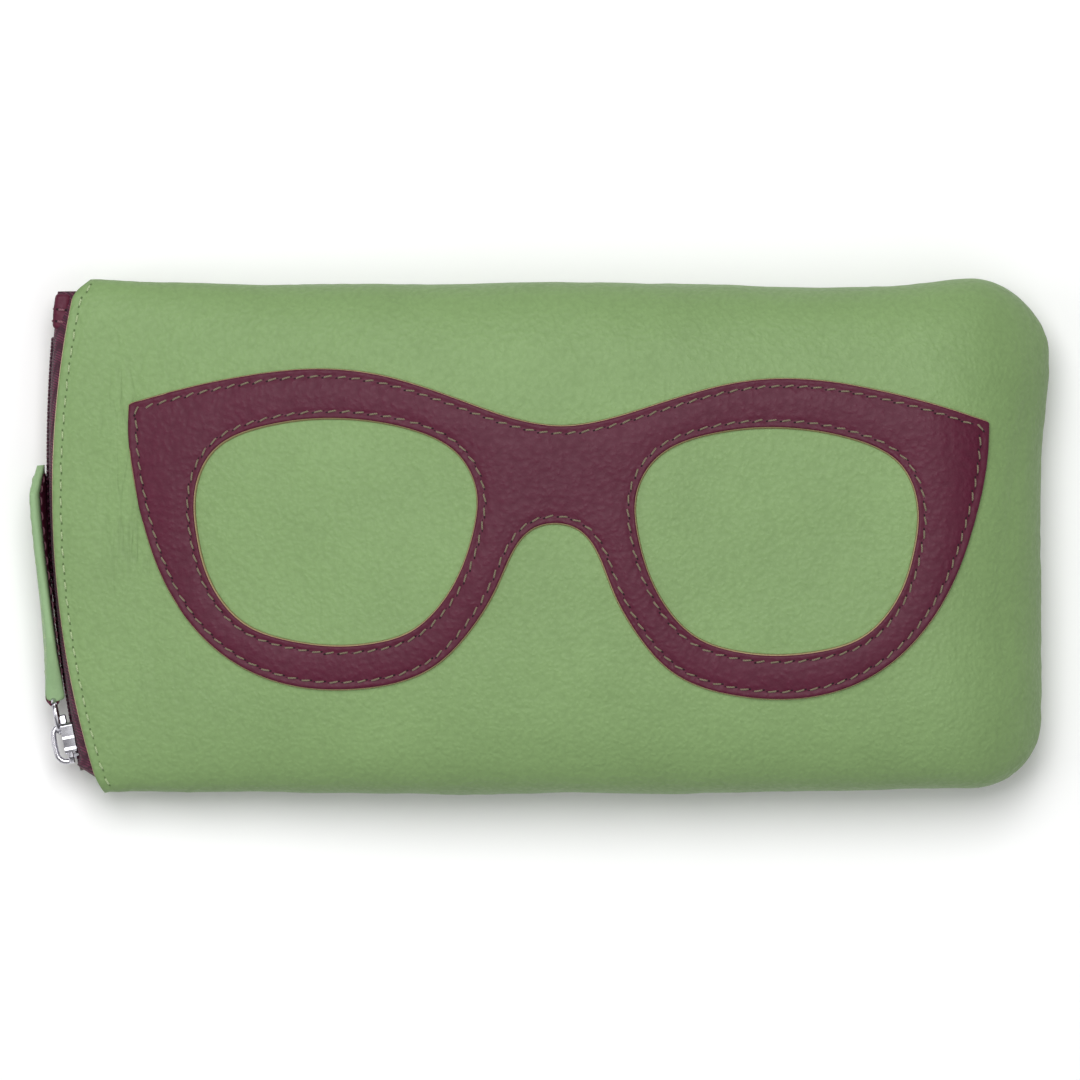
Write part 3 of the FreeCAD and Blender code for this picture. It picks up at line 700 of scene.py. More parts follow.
def inner_layer(name, front, node, depth, thickness, setback, finish, slot):
    """A layer that lies this deep under the skin and begins this far from the mouth. Towards the
    closed end it keeps clear of the seam."""
    grid = skin_grid(front, 2.0, depth, setback)
    grid[..., 2] = np.maximum(grid[..., 2], depth + 0.02)
    far = ease((grid[..., 0] - 55) / 25) * (0.6 * depth + 1.0)
    grid[..., 0] -= far
    grid[..., 1] -= far * np.clip(grid[..., 1] / 30, -1, 1)
    half = (SEAM + 0.1, np.inf) if front else (-np.inf, SEAM - 0.1)
    grid[..., 2] = np.clip(grid[..., 2], *half)
    faces = grid_faces(*grid.shape[:2])
    if front:
        faces = [face[::-1] for face in faces]
    made = piece(name, grid.reshape(-1, 3), faces, [finish], "case", slot, [node])
    thick = made.modifiers.new("thickness", "SOLIDIFY")
    thick.thickness = thickness * MM
    thick.offset = -1
    apply_modifiers(made)
    return made, *sheet_size(grid)


for front, side in ((True, "front"), (False, "back")):
    pad = inner_layer(side + "_felt_pad", front, side + "_padding", *PADDING, FELT, "padding")[0]
    cloth, width, length, area = inner_layer(side + "_lining_cloth", front, side + "_lining", *CLOTH,
                                             LINING, "lining")
    print(side, "lining", round(width, 3), "by", round(length, 3), "m, area", round(area, 4))

# %% [markdown]
# The glasses are one flat piece of leather with two windows. Their outline is drawn from a few
# points on smooth curves: the brow line above, the rim round both lenses and the bridge below, and
# one closed curve for each lens. A cubic spline joins the points as a draughtsman's batten would.
# %% Outlines of the glasses
APPLIQUE_CENTRE = (3.6, 10.75)
APPLIQUE_TURN = math.radians(-1.2)
APPLIQUE = 1.0
BROW = ((0, 8.5), (8, 9.65), (16, 12.2), (24, 14.85), (33, 17.0), (44, 17.5), (56, 15.9), (66, 13.6),
        (75.3, 10.8))
RIM = ((75.3, 10.8), (75.1, 4), (73.8, -4), (71.7, -12), (68.5, -20), (63.15, -28), (56, -34),
       (47, -37.6), (37, -38.4), (27.5, -37), (20.85, -34), (15, -28), (10.25, -20), (6.55, -12),
       (3.6, -9.3), (0, -8.5))
LENS = ((40, 9.1), (51, 7.6), (60, 3.35), (63.4, -4), (62.95, -12), (60.5, -20), (54.5, -27.2),
        (47, -30), (39, -30.9), (30.2, -30), (24.3, -27.6), (17.8, -20), (14.3, -10), (14, -3),
        (17.6, 3.5), (27, 7.8))


def spline(points, closed=False):
    """A smooth run of points through the given ones, 40 to each stretch."""
    knots = np.array(list(points) + ([points[0]] if closed else []), float)
    t = np.concatenate([[0], np.cumsum(np.linalg.norm(np.diff(knots, axis=0), axis=1) ** 0.75)])
    h = np.diff(t)
    count = len(knots)
    system = np.eye(count)
    goal = np.zeros_like(knots)
    slope = np.diff(knots, axis=0) / h[:, None]
    for i in range(1, count - 1):
        system[i, i - 1:i + 2] = h[i - 1], 2 * (h[i - 1] + h[i]), h[i]
        goal[i] = 6 * (slope[i] - slope[i - 1])
    if closed:
        system[0, :] = 0
        system[0, [0, 1, -2, -1]] = 2 * h[0], h[0], h[-1], 2 * h[-1]
        goal[0] = 6 * (slope[0] - slope[-1])
        system[-1, [0, -1]] = -1, 1
    bend = np.linalg.solve(system, goal)
    run = []
    for i in range(count - 1):
        s = np.linspace(0, 1, 41)[:-1, None]
        a, b = 1 - s, s
        run.append(a * knots[i] + b * knots[i + 1]
                   + h[i] ** 2 / 6 * ((a ** 3 - a) * bend[i] + (b ** 3 - b) * bend[i + 1]))
    return np.concatenate(run + ([] if closed else [knots[-1:]]))


def even(points, step, closed=True):
    """The same run with points at even steps."""
    points = np.concatenate([points, points[:1]]) if closed else points
    run = np.concatenate([[0], np.cumsum(np.linalg.norm(np.diff(points, axis=0), axis=1))])
    count = max(4, int(round(run[-1] / step)))
    goal = np.linspace(0, run[-1], count + 1)
    made = np.stack([np.interp(goal, run, points[:, k]) for k in range(points.shape[1])], 1)
    return made[:-1] if closed else made


def on_case(points):
    """From the glasses' own plan to the case's."""
    c, s = math.cos(APPLIQUE_TURN), math.sin(APPLIQUE_TURN)
    return points @ np.array([[c, s], [-s, c]]) + np.array(APPLIQUE_CENTRE)


def mirrored(half):
    return [(-u, v) for u, v in half[::-1]] + list(half[1:])


def lens_curve(side):
    run = spline([(side * u, v) for u, v in LENS], closed=True)
    return on_case(run if side > 0 else run[::-1])


brow_curve = spline(mirrored(BROW))
rim_curve = spline([(u, v) for u, v in RIM] + [(-u, v) for u, v in RIM[::-1]][1:])
outline = on_case(np.concatenate([brow_curve[:-1], rim_curve[:-1]]))[::-1]
loops = [outline, lens_curve(-1), lens_curve(1)]


def beside(loop, margin):
    """A closed run beside a loop, on its left, without the points that come too near the loop."""
    ahead = np.roll(loop, -1, 0) - np.roll(loop, 1, 0)
    ahead /= np.linalg.norm(ahead, axis=1, keepdims=True)
    moved = loop + margin * np.stack([-ahead[:, 1], ahead[:, 0]], 1)
    near = kdtree.KDTree(len(loop))
    for i, point in enumerate(loop):
        near.insert((*point, 0), i)
    near.balance()
    keep = [near.find((*point, 0))[2] > 0.985 * margin for point in moved]
    return moved[np.array(keep)]


# %% [markdown]
# The cut piece is meshed flat first. Rings of points follow every edge, close together where the
# edge rounds over and where the seam presses a groove, and a plain grid fills the middle. A Delaunay
# triangulation joins them. Each point is then laid on the case's skin and raised by the leather's
# thickness, which is less at the edge and in the groove.
# %% The glasses
STITCH_MARGIN = 1.2
RING_DEPTHS = (0.1, 0.25, 0.45, 0.7, 0.95, 1.2, 1.45, 1.75, 2.2)
STEP = 0.5
contours = [even(loop, STEP) for loop in loops]
flat_points = [tuple(p) for contour in contours for p in contour]
contour_size = len(flat_points)
edges, start = [], 0
for contour in contours:
    size = len(contour)
    edges += [(start + i, start + (i + 1) % size) for i in range(size)]
    start += size
edge_tree = kdtree.KDTree(contour_size)
for i, point in enumerate(flat_points):
    edge_tree.insert((*point, 0), i)
edge_tree.balance()
for depth in RING_DEPTHS:
    for loop in loops:
        ring = even(beside(loop, depth), STEP)
        flat_points += [tuple(p) for p in ring if edge_tree.find((*p, 0))[2] > 0.9 * depth]
low, high = outline.min(0), outline.max(0)
for i in range(int((high[0] - low[0]) / 0.95)):
    for j in range(int((high[1] - low[1]) / 0.82)):
        spot = (low[0] + 0.95 * (i + 0.5 * (j % 2)), low[1] + 0.82 * j)
        if edge_tree.find((*spot, 0))[2] > RING_DEPTHS[-1] + 0.35:
            flat_points.append(spot)


def inside(points, loop):
    """Which points lie inside a closed run, by counting crossings."""
    x, y = points[:, 0][:, None], points[:, 1][:, None]
    x0, y0 = loop[:, 0][None], loop[:, 1][None]
    x1, y1 = np.roll(loop, -1, 0)[:, 0][None], np.roll(loop, -1, 0)[:, 1][None]
    cross = (y0 > y) != (y1 > y)
    at = x0 + (y - y0) / np.where(y1 == y0, 1e-9, y1 - y0) * (x1 - x0)
    return (cross & (x < at)).sum(1) % 2 == 1


def in_leather(points):
    return inside(points, contours[0]) & ~inside(points, contours[1]) & ~inside(points, contours[2])


everything = np.array(flat_points)
keep = in_leather(everything)
keep[:contour_size] = True
everything = everything[keep]
made = geometry.delaunay_2d_cdt([Vector(p) for p in everything], edges, [], 0, 0.0001)
flat, triangles = np.array([tuple(v) for v in made[0]]), [tuple(f) for f in made[2]]
centres = np.array([flat[list(f)].mean(0) for f in triangles])
triangles = [f for f, ok in zip(triangles, in_leather(centres)) if ok]
used = sorted({v for f in triangles for v in f})
number = {v: i for i, v in enumerate(used)}
flat = flat[used]
triangles = [tuple(number[v] for v in f) for f in triangles]


def leather_rise(depth):
    """Thickness of the cut leather at this distance from its edge."""
    edge = 0.82 + 0.18 * math.sqrt(max(0.0, 1 - (1 - min(depth / 0.3, 1)) ** 2))
    groove = 0.16 * math.exp(-((depth - STITCH_MARGIN) / 0.45) ** 2)
    lip = 0.02 * math.exp(-((depth - 0.55) / 0.3) ** 2)
    plump = 0.16 * float(ease(np.array((depth - 1.2) / 4)))
    return APPLIQUE * edge - groove + lip + plump


flare = []
for contour in contours:
    ahead = np.roll(contour, -1, 0) - np.roll(contour, 1, 0)
    ahead /= np.linalg.norm(ahead, axis=1, keepdims=True)
    flare += [(0.28 * dy, -0.28 * dx) for dx, dy in ahead]
top_points, under_points = [], []
for x, y in flat:
    spot, normal = on_front(x, y)
    depth = edge_tree.find((x, y, 0))[2]
    wave = 0.05 * noise.noise(Vector((x, y, 7)) / 3.1)
    top_points.append(spot + normal * (leather_rise(depth) + wave))
    if depth < 0.01:
        away = flare[edge_tree.find((x, y, 0))[1]]
        spot, normal = on_front(x + away[0], y + away[1])
    under_points.append(spot - normal * 0.05)
applique = closed_sheet("glasses_applique", top_points, under_points, triangles, [MAROON, MAROON_EDGE],
                        "maroon_leather", ["spectacle_applique"])
applique_tree = BVHTree.FromPolygons([tuple(p) for p in top_points], triangles)

on_applique = laid_on(applique_tree, 1, 24)

# %% [markdown]
# Every stitch is a short bow of thread that comes up through one needle hole and goes down the
# next. The template is a thin tube that bulges in its middle and dives at both ends; small discs of
# painted shade stand for the holes. Stitches made by a lockstitch machine lie a little slantwise.
# %% Stitches
THREAD_RADIUS = 0.2


def stitch_template(length, radius, sides=7, rows=9):
    """Points and faces of one stitch along x, lying on z = 0."""
    points = []
    for i in range(rows):
        t = i / (rows - 1) * 2 - 1
        middle = radius * 0.75 * (1 - t ** 4) - 0.32 * t ** 8
        girth = radius * (1 - 0.35 * t ** 6)
        points += [(t * length / 2, girth * c, middle + girth * s * 0.85) for c, s in circle(sides)]
    return points, [face[::-1] for face in tube_faces(rows, sides)]


def hole_template(at, radius, sides=9):
    """A shallow lens of shadow round a needle hole."""
    points = [(at + 1.4 * radius * c, radius * s, 0.015) for c, s in circle(sides)]
    points += [(at, 0, 0.05), (at, 0, -0.1)]
    faces = [(k, (k + 1) % sides, sides) for k in range(sides)]
    faces += [((k + 1) % sides, k, sides + 1) for k in range(sides)]
    return points, faces


def frame_at(place, ahead, normal, slant=0.0, ease_off=0.0):
    """Axes with x ahead along the row and z off the face."""
    normal = Vector(normal).normalized()
    ahead = Vector(ahead)
    ahead = (ahead - normal * ahead.dot(normal)).normalized()
    ahead = Matrix.Rotation(slant, 3, normal) @ ahead
    side = normal.cross(ahead)
    turn = Matrix((ahead, side, normal)).transposed().to_4x4()
    turn.translation = Vector(place) + normal * ease_off
    return turn


def stitches(name, frames, length, thread_finish, hole_shade_finish, body, slot, nodes, radius=THREAD_RADIUS):
    """One object with a stitch and its two holes, discs of painted shade, at every frame."""
    stitch = stitch_template(length, radius)
    hole_shade_discs = joined([hole_template(end * (length / 2 + 0.1), radius) for end in (-1, 1)])
    shape, shape_faces = joined([stitch, hole_shade_discs])
    finish = [0] * len(stitch[1]) + [1] * len(hole_shade_discs[1])
    row = joined([([turn @ Vector(p) for p in shape], shape_faces) for turn in frames])
    piece(name, *row, [thread_finish, hole_shade_finish], body, slot, nodes, finish * len(frames))


def row_frames(loop, pitch, lay, slant, closed=True):
    """Frames at an even pitch along a plan curve laid on a face."""
    spots = even(loop, pitch, closed)
    ahead = np.roll(spots, -1, 0) - np.roll(spots, 1, 0)
    if not closed:
        ahead[0], ahead[-1] = ahead[1], ahead[-2]
    frames = []
    for k, ((x, y), (dx, dy)) in enumerate(zip(spots, ahead)):
        spot, normal = lay(x, y)
        wander = 0.05 * math.sin(k * 2.4)
        frames.append(frame_at(spot, (dx, dy, 0), normal, slant + wander))
    return frames


rows = [beside(loop, STITCH_MARGIN) for loop in loops]
names = ("applique_outline", "applique_left_lens", "applique_right_lens")
for name, row in zip(names, rows):
    frames = row_frames(row, 2.45, on_applique, math.radians(11))
    stitches(name + "_stitches", frames, 1.75, OLIVE_THREAD, MAROON_HOLE_SHADE, "case", "olive_thread",
             [name + "_thread"], 0.165)

MOUTH_STITCH_MARGIN = 1.45
reach = [math.asin((y - MOUTH_CENTRE[1]) / MOUTH_RADIUS) for y in (-43.6, 43.9)]
turns = np.linspace(*reach, 200)
row_radius = MOUTH_RADIUS - MOUTH_STITCH_MARGIN
mouth_row = MOUTH_CENTRE + row_radius * np.stack([-np.cos(turns), np.sin(turns)], 1)
mouth_row[:, 0] += corner_sweep(mouth_row[:, 1])
for side, lay in (("front", on_front), ("back", on_back)):
    frames = row_frames(mouth_row, 2.95, lay, math.radians(4), closed=False)
    stitches(side + "_mouth_stitches", frames, 1.5, GREEN_THREAD, GREEN_HOLE_SHADE, "case", "green_thread",
             [side + "_mouth_thread"], 0.17)

# %% [markdown]
# The zip's tapes come out from under the leather's edge and curve together towards the teeth. Each
# one is a strip of points: every station along the zip has a profile from under the leather, over a
# quarter of an ellipse, down to the tooth line. A modifier gives it the thickness of woven tape.
# %% Zip tapes
ZIP_CENTRE = np.array([178.4, 13.8])
ZIP_RADIUS = 264.7


def zip_x(y, depth=0.0):
    return ZIP_CENTRE[0] - np.sqrt((ZIP_RADIUS - depth) ** 2 - (y - ZIP_CENTRE[1]) ** 2)


def mouth_x(y, setback=0.0):
    return MOUTH_CENTRE[0] - np.sqrt((MOUTH_RADIUS - setback) ** 2 - (y - MOUTH_CENTRE[1]) ** 2)


def skin_rise(x, y, front):
    """Height of the smooth skin over the seam."""
    across = np.clip(np.abs(y) / half_width(x, 1 if y > 0 else -1), 0, 1)
    return arch_height(x, front) * (1 - across ** 4) ** 0.25 * (0.94 + 0.06 * (1 - across ** 2))


def tape(name, front, node):
    sign = 1 if front else -1
    points = []
    ys = np.linspace(-42.7, 43.0, 174)
    turns = np.linspace(0, math.pi / 2, 17)
    for y in ys:
        edge_x = mouth_x(y) + 1.0
        base_x = zip_x(y, 0.7) - 0.75 * ease((-39.4 - y) / 0.8) + 1.3 * max(0.0, -40.1 - y)
        base_x = min(base_x, edge_x - 0.4)
        full = skin_rise(edge_x, y, front) - LEATHER - 0.12
        foot = min(2.15, full - 0.35)
        ripple = 0.09 * noise.noise(Vector((0.0, y / 2.6, 4.0 * sign)))
        for turn in turns:
            x = edge_x - (edge_x - base_x) * math.cos(turn) ** 0.85
            z = foot + (full - foot) * math.sin(turn) ** 0.8
            points.append((x + ripple * math.cos(turn), y, SEAM + sign * z))
        for inward in (1.2, 2.4, 3.6, 4.8, 6.0):
            x = edge_x + inward
            points.append((x, y, SEAM + sign * (skin_rise(x, y, front) - LEATHER - 0.12)))
    faces = grid_faces(len(ys), len(points) // len(ys))
    if front:
        faces = [face[::-1] for face in faces]
    made = piece(name, points, faces, [TAPE], "case", "zip_tape", [node])
    thick = made.modifiers.new("tape", "SOLIDIFY")
    thick.thickness = 0.42 * MM
    thick.offset = 0
    apply_modifiers(made)
    return made, *sheet_size(np.array(points).reshape(len(ys), -1, 3))


for front, side, panel_piece in ((True, "front", front_panel), (False, "back", back_panel)):
    cloth, width, length, area = tape(side + "_tape", front, side + "_zip_tape")
    print(side, "tape", round(width, 4), "by", round(length, 4), "m")

# %% [markdown]
# The teeth are loops of one coiled plastic thread on each tape. Seen from outside each loop is a
# rounded finger with a thicker head, and the heads of both sides mesh.
# %% Zip teeth
def finger(across, sections):
    """A closed form from rounded cross-sections: (place across, half width, outer, inner)."""
    points, sides = [], 10
    for place, half, outer, inner in sections:
        middle, deep = (outer + inner) / 2, (outer - inner) / 2
        for c, s in circle(sides):
            points.append((half * squared(c, 0.7), middle + deep * squared(s, 0.7), across * place))
    faces = tube_faces(len(sections), sides)
    return points, faces if across > 0 else [f[::-1] for f in faces]


def zip_frame(angle):
    """The zip's own frame (along, outwards, up) at an angle on its arc, as a matrix in millimetres."""
    out = Vector((-math.cos(angle), math.sin(angle), 0))
    ahead = Vector((math.sin(angle), math.cos(angle), 0))
    turn = Matrix((ahead, out, Vector((0, 0, 1)))).transposed().to_4x4()
    turn.translation = Vector((ZIP_CENTRE[0], ZIP_CENTRE[1], SEAM)) + out * ZIP_RADIUS
    return turn


def zip_angle(y):
    return math.asin((y - ZIP_CENTRE[1]) / ZIP_RADIUS)


def moved_by(turn, points):
    return [turn @ Vector(p) for p in points]


TOOTH = ((0.28, 0.22, -0.3, -1.1), (0.34, 0.42, -0.08, -1.32), (0.55, 0.5, 0.0, -1.4),
         (0.85, 0.42, -0.02, -1.38), (1.15, 0.3, -0.06, -1.34), (1.6, 0.28, -0.05, -1.35),
         (1.95, 0.26, -0.12, -1.28), (2.15, 0.15, -0.4, -1.0))
COIL_REACH = (-40.6, 36.2)
COIL_MARGIN = 0.002
PITCH = 1.3 / ZIP_RADIUS
for across, side in ((1, "front"), (-1, "back")):
    first, last = (zip_angle(y) for y in COIL_REACH)
    teeth = []
    for k in range(int((last - first - 2 * COIL_MARGIN) / PITCH)):
        angle = first + COIL_MARGIN + (k + 0.5 + 0.25 * across) * PITCH
        shape, faces = finger(across, TOOTH)
        teeth.append((moved_by(zip_frame(angle), shape), faces))
    piece(side + "_coil", *joined(teeth), [COIL], "case", "zip_coil", [side + "_zip_coil"])

# %% [markdown]
# A small leather tab is folded over the zip's far end and sewn down with two short rows. It is
# built as a block with rounded edges whose outer face follows the zip's arc.
# %% End tab
def box_outline(x0, x1, z0, z1):
    return [(x0, z0), (x1, z0), (x1, z1), (x0, z1)]


def rounded_block(corners, low, high, bevel, turn, lift=None, cuts=0):
    """A plate with this outline in x and z, between two values of y, with rounded edges."""
    bm = bmesh.new()
    bottom = [bm.verts.new((x, low, z)) for x, z in corners]
    top = [bm.verts.new((x, high, z)) for x, z in corners]
    bm.faces.new(bottom)
    bm.faces.new(top[::-1])
    for k in range(len(corners)):
        j = (k + 1) % len(corners)
        bm.faces.new((bottom[j], bottom[k], top[k], top[j]))
    bmesh.ops.recalc_face_normals(bm, faces=bm.faces)
    bmesh.ops.bevel(bm, geom=list(bm.edges), offset=bevel, segments=4, profile=0.6, affect="EDGES",
                    clamp_overlap=True)
    if cuts:
        bmesh.ops.triangulate(bm, faces=bm.faces)
        bmesh.ops.subdivide_edges(bm, edges=list(bm.edges), cuts=cuts)
    points = [turn @ (lift(v.co) if lift else v.co) for v in bm.verts]
    bm.verts.index_update()
    faces = [tuple(v.index for v in f.verts) for f in bm.faces]
    bm.free()
    return points, faces


TAB_Y = (36.5, 42.8)
TAB_HALF_HEIGHT = 4.0
tab_angle = zip_angle(sum(TAB_Y) / 2)
tab_half = (TAB_Y[1] - TAB_Y[0]) / 2


def tab_bend(p):
    """Bends the tab with the zip, folds its middle and lets it swell a little."""
    swell = 0.12 * math.cos(math.pi / 2 * p.x / tab_half) * (1 if p.y > -1 else 0)
    dent = 0.14 * math.exp(-((p.x + 1.9) / 0.3) ** 2) + 0.12 * math.exp(-((p.x - 0.2) / 0.3) ** 2)
    return Vector((p.x, p.y - p.x * p.x / (2 * ZIP_RADIUS) + swell - (dent if p.y > -0.6 else 0), p.z))


outline_tab = box_outline(-tab_half, tab_half, -TAB_HALF_HEIGHT, TAB_HALF_HEIGHT)
points, faces = rounded_block(outline_tab, -2.8, -0.15, 0.95, zip_frame(tab_angle), tab_bend, 2)
piece("end_tab", points, faces, [MAROON], "case", "maroon_leather", ["zip_end_tab"])
frames = []
for y in (37.85, 39.95):
    turn = zip_frame(zip_angle(y))
    out = turn.to_3x3() @ Vector((0, 1, 0))
    for k in (-1.25, -0.4, 0.45, 1.3):
        spot = turn @ Vector((0, -0.2, k * 2.1))
        frames.append(frame_at(spot, (0, 0, 1), out))
    for up in (1, -1):
        spot = turn @ Vector((0, -1.45, up * (TAB_HALF_HEIGHT - 0.02)))
        frames.append(frame_at(spot, out, (0, 0, up)))
stitches("end_tab_stitches", frames, 1.25, MAROON_THREAD, MAROON_HOLE_SHADE, "case", "maroon_thread",
         ["zip_end_tab_thread"])

# %% [markdown]
# The slider is a zinc casting: two plates with rounded corners and low flanges, joined by a wedge
# that parts the teeth. A nose stands on its outer plate, and an arched bridge holds the ring.
# %% Slider
slider_turn = zip_frame(zip_angle(-35.55))


def octagon(half_length, half_width, cut):
    """A rectangle with its corners cut off, as (along, across) points."""
    long, wide = half_length - cut, half_width - cut
    return [(half_length, -wide), (half_length, wide), (long, half_width), (-long, half_width),
            (-half_length, wide), (-half_length, -wide), (-long, -half_width), (long, -half_width)]


def casting(name, plates, nodes):
    """One metal piece made of plates; each has an outline, two levels and a bevel."""
    blocks = [rounded_block(*plate, slider_turn) for plate in plates]
    piece(name, *joined(blocks), [NICKEL], "slider", "bright_metal", nodes)


def flange(side):
    """The outline of one flange, whose outer face is cut into flats; side is 1 or -1."""
    flats = [(2.9, 2.2), (2.8, 3.0), (2.35, 3.36), (0.4, 3.25), (0.05, 3.36), (-1.45, 2.85),
             (-1.95, 2.97), (-2.4, 2.8), (-2.6, 2.2)]
    return [(along, side * across) for along, across in flats[::side]]


PLATE = [(along - 0.7, across) for along, across in octagon(3.7, 2.8, 1.1)]
casting("slider_casting", [
    (PLATE, 0.33, 1.3, 0.3),
    (PLATE, -2.45, -1.75, 0.2),
    (flange(1), -0.4, 1.75, 0.09),
    (flange(-1), -0.4, 1.75, 0.09),
    (box_outline(-3.1, 3.1, 2.45, 3.0), -2.0, -1.25, 0.14),
    (box_outline(-3.1, 3.1, -3.0, -2.45), -2.0, -1.25, 0.14),
    (box_outline(-3.6, -1.4, -0.12, 0.12), -1.9, 0.5, 0.05),
    ([(2.6, -1.5), (4.35, -1.3), (4.35, 1.3), (2.6, 1.62)], 0.45, 1.85, 0.3),
    (box_outline(-2.6, 2.2, -1.9, 1.9), 0.9, 1.42, 0.22)], ["slider_body"])


def swept(path, section, ups):
    """A tube with this cross-section (side, up) along a path."""
    points = []
    for i, spot in enumerate(path):
        before, after = path[max(i - 1, 0)], path[min(i + 1, len(path) - 1)]
        ahead = (after - before).normalized()
        side = ahead.cross(ups).normalized()
        up = side.cross(ahead)
        points += [spot + side * a + up * b for a, b in section]
    return points, tube_faces(len(path), len(section))


def oval(half_a, half_b, sides=14, power=0.75):
    return [(half_a * squared(c, power), half_b * squared(s, power)) for c, s in circle(sides)]


def crown_path():
    """The middle of the bridge's bar: up, round two shoulders and down again."""
    left, right, foot, top, radius = -3.92, 2.62, 1.0, 3.25, 1.75

    def shoulder(middle, start):
        turns = [start - math.pi / 2 * k / 8 for k in range(9)]
        level = top - radius
        return [Vector((middle + radius * math.cos(t), level + radius * math.sin(t), 0)) for t in turns]

    path = [Vector((left, foot, 0))] + shoulder(left + radius, math.pi)
    for k in range(1, 8):
        along = left + radius + (right - left - 2 * radius) * k / 8
        path.append(Vector((along, top + 0.08 * math.sin(math.pi * k / 8), 0)))
    return path + shoulder(right - radius, math.pi / 2) + [Vector((right, foot, 0))]


points, faces = swept(crown_path(), oval(0.5, 0.85), Vector((0, 0, 1)))
points = moved_by(slider_turn, points)
piece("slider_bridge", points, faces, [NICKEL], "slider", "bright_metal", ["slider_crown"])

# %% [markdown]
# A ring of round wire joins the bridge and the pull. The slit where the wire was closed stays.
# %% Ring
RING_EYE = (1.45, 2.05)
RING_RADIUS = 3.1
RING_WIRE = 0.5
gap = math.radians(2.2)
path = []
for k in range(73):
    turn = math.radians(-55) + gap + (2 * math.pi - 2 * gap) * k / 72
    path.append(Vector((RING_EYE[0] + RING_RADIUS + RING_RADIUS * math.cos(turn), RING_EYE[1],
                        -RING_RADIUS * math.sin(turn))))
points, faces = swept(path, oval(RING_WIRE, RING_WIRE, 16, 1.0), Vector((0, 1, 0)))
points = moved_by(slider_turn, points)
piece("jump_ring", points, faces, [NICKEL], "ring", "bright_metal", ["pull_ring"])

# %% [markdown]
# The pull is a leather strap hung on the ring. Its green face is turned over the long edges, which
# makes them round and plump; a red lining is glued and sewn on the inner face, and its narrow end
# is the loop round the ring's wire. The strap isn't straight: it leans outwards towards its tip,
# and the cut tip curls back in.
# %% Pull
ring_wire = slider_turn @ Vector((RING_EYE[0] + 2 * RING_RADIUS, RING_EYE[1], 0))
PULL_HEADING = math.radians(95.2)
pull_turn = Matrix.Translation(ring_wire) @ Matrix.Rotation(PULL_HEADING, 4, "Z")
LENGTHS = (-0.7, 2.0, 6.3, 10.0, 14.0, 18.5, 25.5, 32.0, 36.0, 38.5, 40.9)
MIDDLE = (-0.35, -0.35, -0.3, -0.28, -0.24, -0.22, -0.3, -0.5, -0.75, -1.05, -1.55)
LEAN = (-0.08, -0.06, -0.05, -0.04, -0.02, 0.01, 0.08, 0.14, 0.17, 0.12, 0.0)
HALF_THICK = (1.45, 1.4, 1.2, 1.05, 1.02, 1.0, 1.0, 1.0, 0.98, 0.9, 0.7)
HALF_WIDE = (1.75, 2.5, 4.3, 5.6, 5.75, 5.75, 5.75, 5.75, 5.75, 3.9, 1.4)
FLARE = (0.5, 0.4, 0.25, 0.12, 0.1, 0.1, 0.1, 0.12, 0.12, 0.1, 0.0)


def strap(values, u):
    return float(np.interp(u, LENGTHS, values))


def strap_point(u, v, w):
    """From the strap's flat plan (along, off its middle, across) to its bent shape."""
    return Vector((u, strap(MIDDLE, u) + v + w * strap(LEAN, u), w))


def strap_off(u, across):
    """How far the strap's face lies off its middle plane, at a place along and across it."""
    wide = strap(HALF_WIDE, u)
    share = min(1.0, abs(across) / wide)
    rim = math.exp(-((wide - abs(across)) / 1.3) ** 2)
    groove = 0.1 * math.exp(-((wide - abs(across) - 1.25) / 0.35) ** 2)
    full = strap(HALF_THICK, u) + strap(FLARE, u) * rim - groove
    end = math.sqrt(1 - (1 - min((u + 0.75) / 0.75, 1)) ** 2)
    return full * (1 - share ** 4) ** 0.375 * end


points, sides = [], 40
rounding, body, tip = [-0.7, -0.65, -0.5, -0.25], np.linspace(0, 36, 70), np.linspace(36.4, 40.9, 16)
strap_stations = np.concatenate([rounding, body, tip])
for u in strap_stations:
    for c, s in circle(sides):
        across = strap(HALF_WIDE, u) * squared(c, 0.5)
        wrinkle = 0.05 * noise.noise(Vector((u / 2.2, across / 2.2, 5.0))) * s
        off = math.copysign(strap_off(u, across), s) + wrinkle
        points.append(pull_turn @ strap_point(float(u), off, across))
pull_leather = piece("pull_leather", points, tube_faces(len(strap_stations), sides), [LIT_STRAP_GREEN], "pull",
                     "green_leather", ["pull_facing"])
soft = pull_leather.modifiers.new("soft", "SUBSURF")
soft.levels = 1
apply_modifiers(pull_leather)

plate_points, columns = [], 15
plate_stations = np.linspace(1.6, 39.4, 80)
for u in plate_stations:
    wide = max(strap(HALF_WIDE, u) - 1.15, 0.4)
    for k in range(columns):
        share = 2 * k / (columns - 1) - 1
        off = -strap(HALF_THICK, u) - 0.03 - 0.16 * (1 - abs(share) ** 6)
        plate_points.append(strap_point(float(u), off, wide * share))
plate = plate_points, [face[::-1] for face in grid_faces(len(plate_stations), columns)]

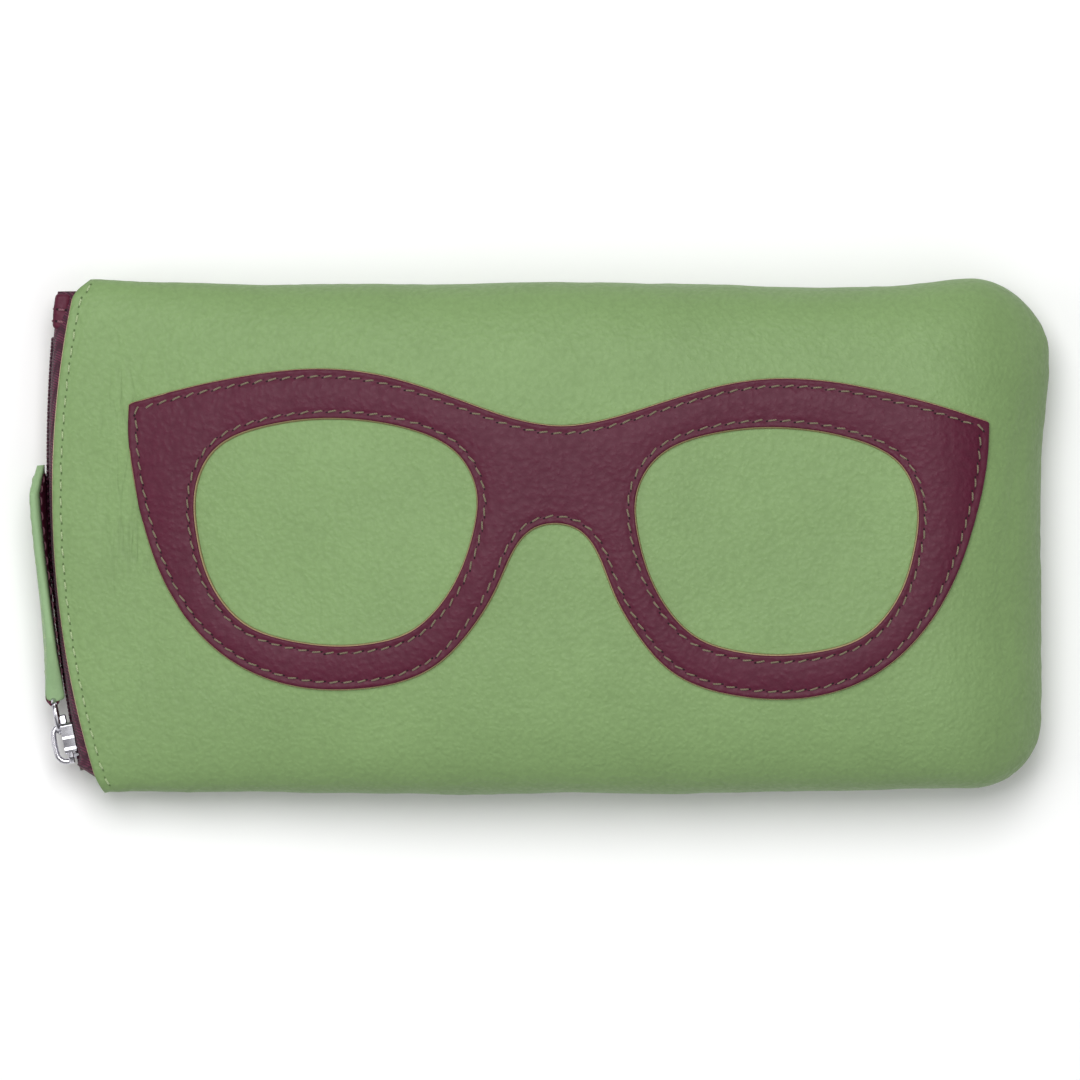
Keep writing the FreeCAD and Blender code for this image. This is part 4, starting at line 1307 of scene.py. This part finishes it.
BORE = 0.8
LOOP_SECTION = ((BORE, 1.25), (1.25, 1.25), (1.32, 1.1), (1.32, -1.1), (1.25, -1.25), (BORE, -1.25))
loop_points, sides = [], 28
for radius, half in LOOP_SECTION:
    for c, s in circle(sides):
        point = 1.0 if radius == BORE else 1 + 0.35 * max(0.0, -c) ** 5
        loop_points.append(Vector((radius * point * c, radius * s, half)))
loop_faces = []
for i in range(len(LOOP_SECTION)):
    here, there = i * sides, (i + 1) % len(LOOP_SECTION) * sides
    for k in range(sides):
        m = (k + 1) % sides
        loop_faces.append((here + k, there + k, there + m, here + m))
points, faces = joined([plate, (loop_points, loop_faces)])
piece("pull_lining", moved_by(pull_turn, points), faces, [MAROON], "pull", "maroon_leather", ["pull_backing"])

frames = {1: [], -1: []}
PULL_ROW = [(3.4, 1.9), (9.6, 4.55), (35.9, 4.55), (39.2, 1.6)]
PULL_ROW = PULL_ROW + [(u, -w) for u, w in PULL_ROW[::-1]]
for face in (1, -1):
    for (u0, w0), (u1, w1) in zip(PULL_ROW, PULL_ROW[1:]):
        run = math.dist((u0, w0), (u1, w1))
        count = max(1, round(run / 2.6))
        for k in range(count):
            share = (k + 0.5) / count
            u, w = u0 + (u1 - u0) * share, w0 + (w1 - w0) * share
            off = face * (strap_off(u, w) - 0.13 if face > 0 else strap(HALF_THICK, u) + 0.14)
            spot = pull_turn @ strap_point(u, off, w)
            out = pull_turn.to_3x3() @ Vector((0, face, -face * strap(LEAN, u)))
            ahead = pull_turn.to_3x3() @ Vector((u1 - u0, 0, w1 - w0))
            frames[face].append(frame_at(spot, ahead, out, math.radians(6)))
STRAP_STITCH = 1.6
stitches("pull_stitches", frames[1], STRAP_STITCH, GREEN_THREAD, GREEN_HOLE_SHADE, "pull", "green_thread",
         ["pull_thread"], 0.15)
# The lining's stitches take the maroon thread painted in shade.
stitches("pull_lining_stitches", frames[-1], STRAP_STITCH, SHADED_LINING_THREAD, MAROON_HOLE_SHADE, "pull", "maroon_thread",
         [], 0.15)

# %% [markdown]
# Two small metal stops are crimped over the tapes' edges where the closed slider comes to rest.
# %% End stops
stop_turn = zip_frame(zip_angle(COIL_REACH[0] - 0.3))
stops = [rounded_block(box_outline(-0.45, 0.45, *span), -1.1, -0.2, 0.2, stop_turn)
         for span in ((0.7, 1.9), (-1.9, -0.7))]
piece("end_stops", *joined(stops), [STOP_METAL], "case", "bright_metal", ["zip_end_stops"])
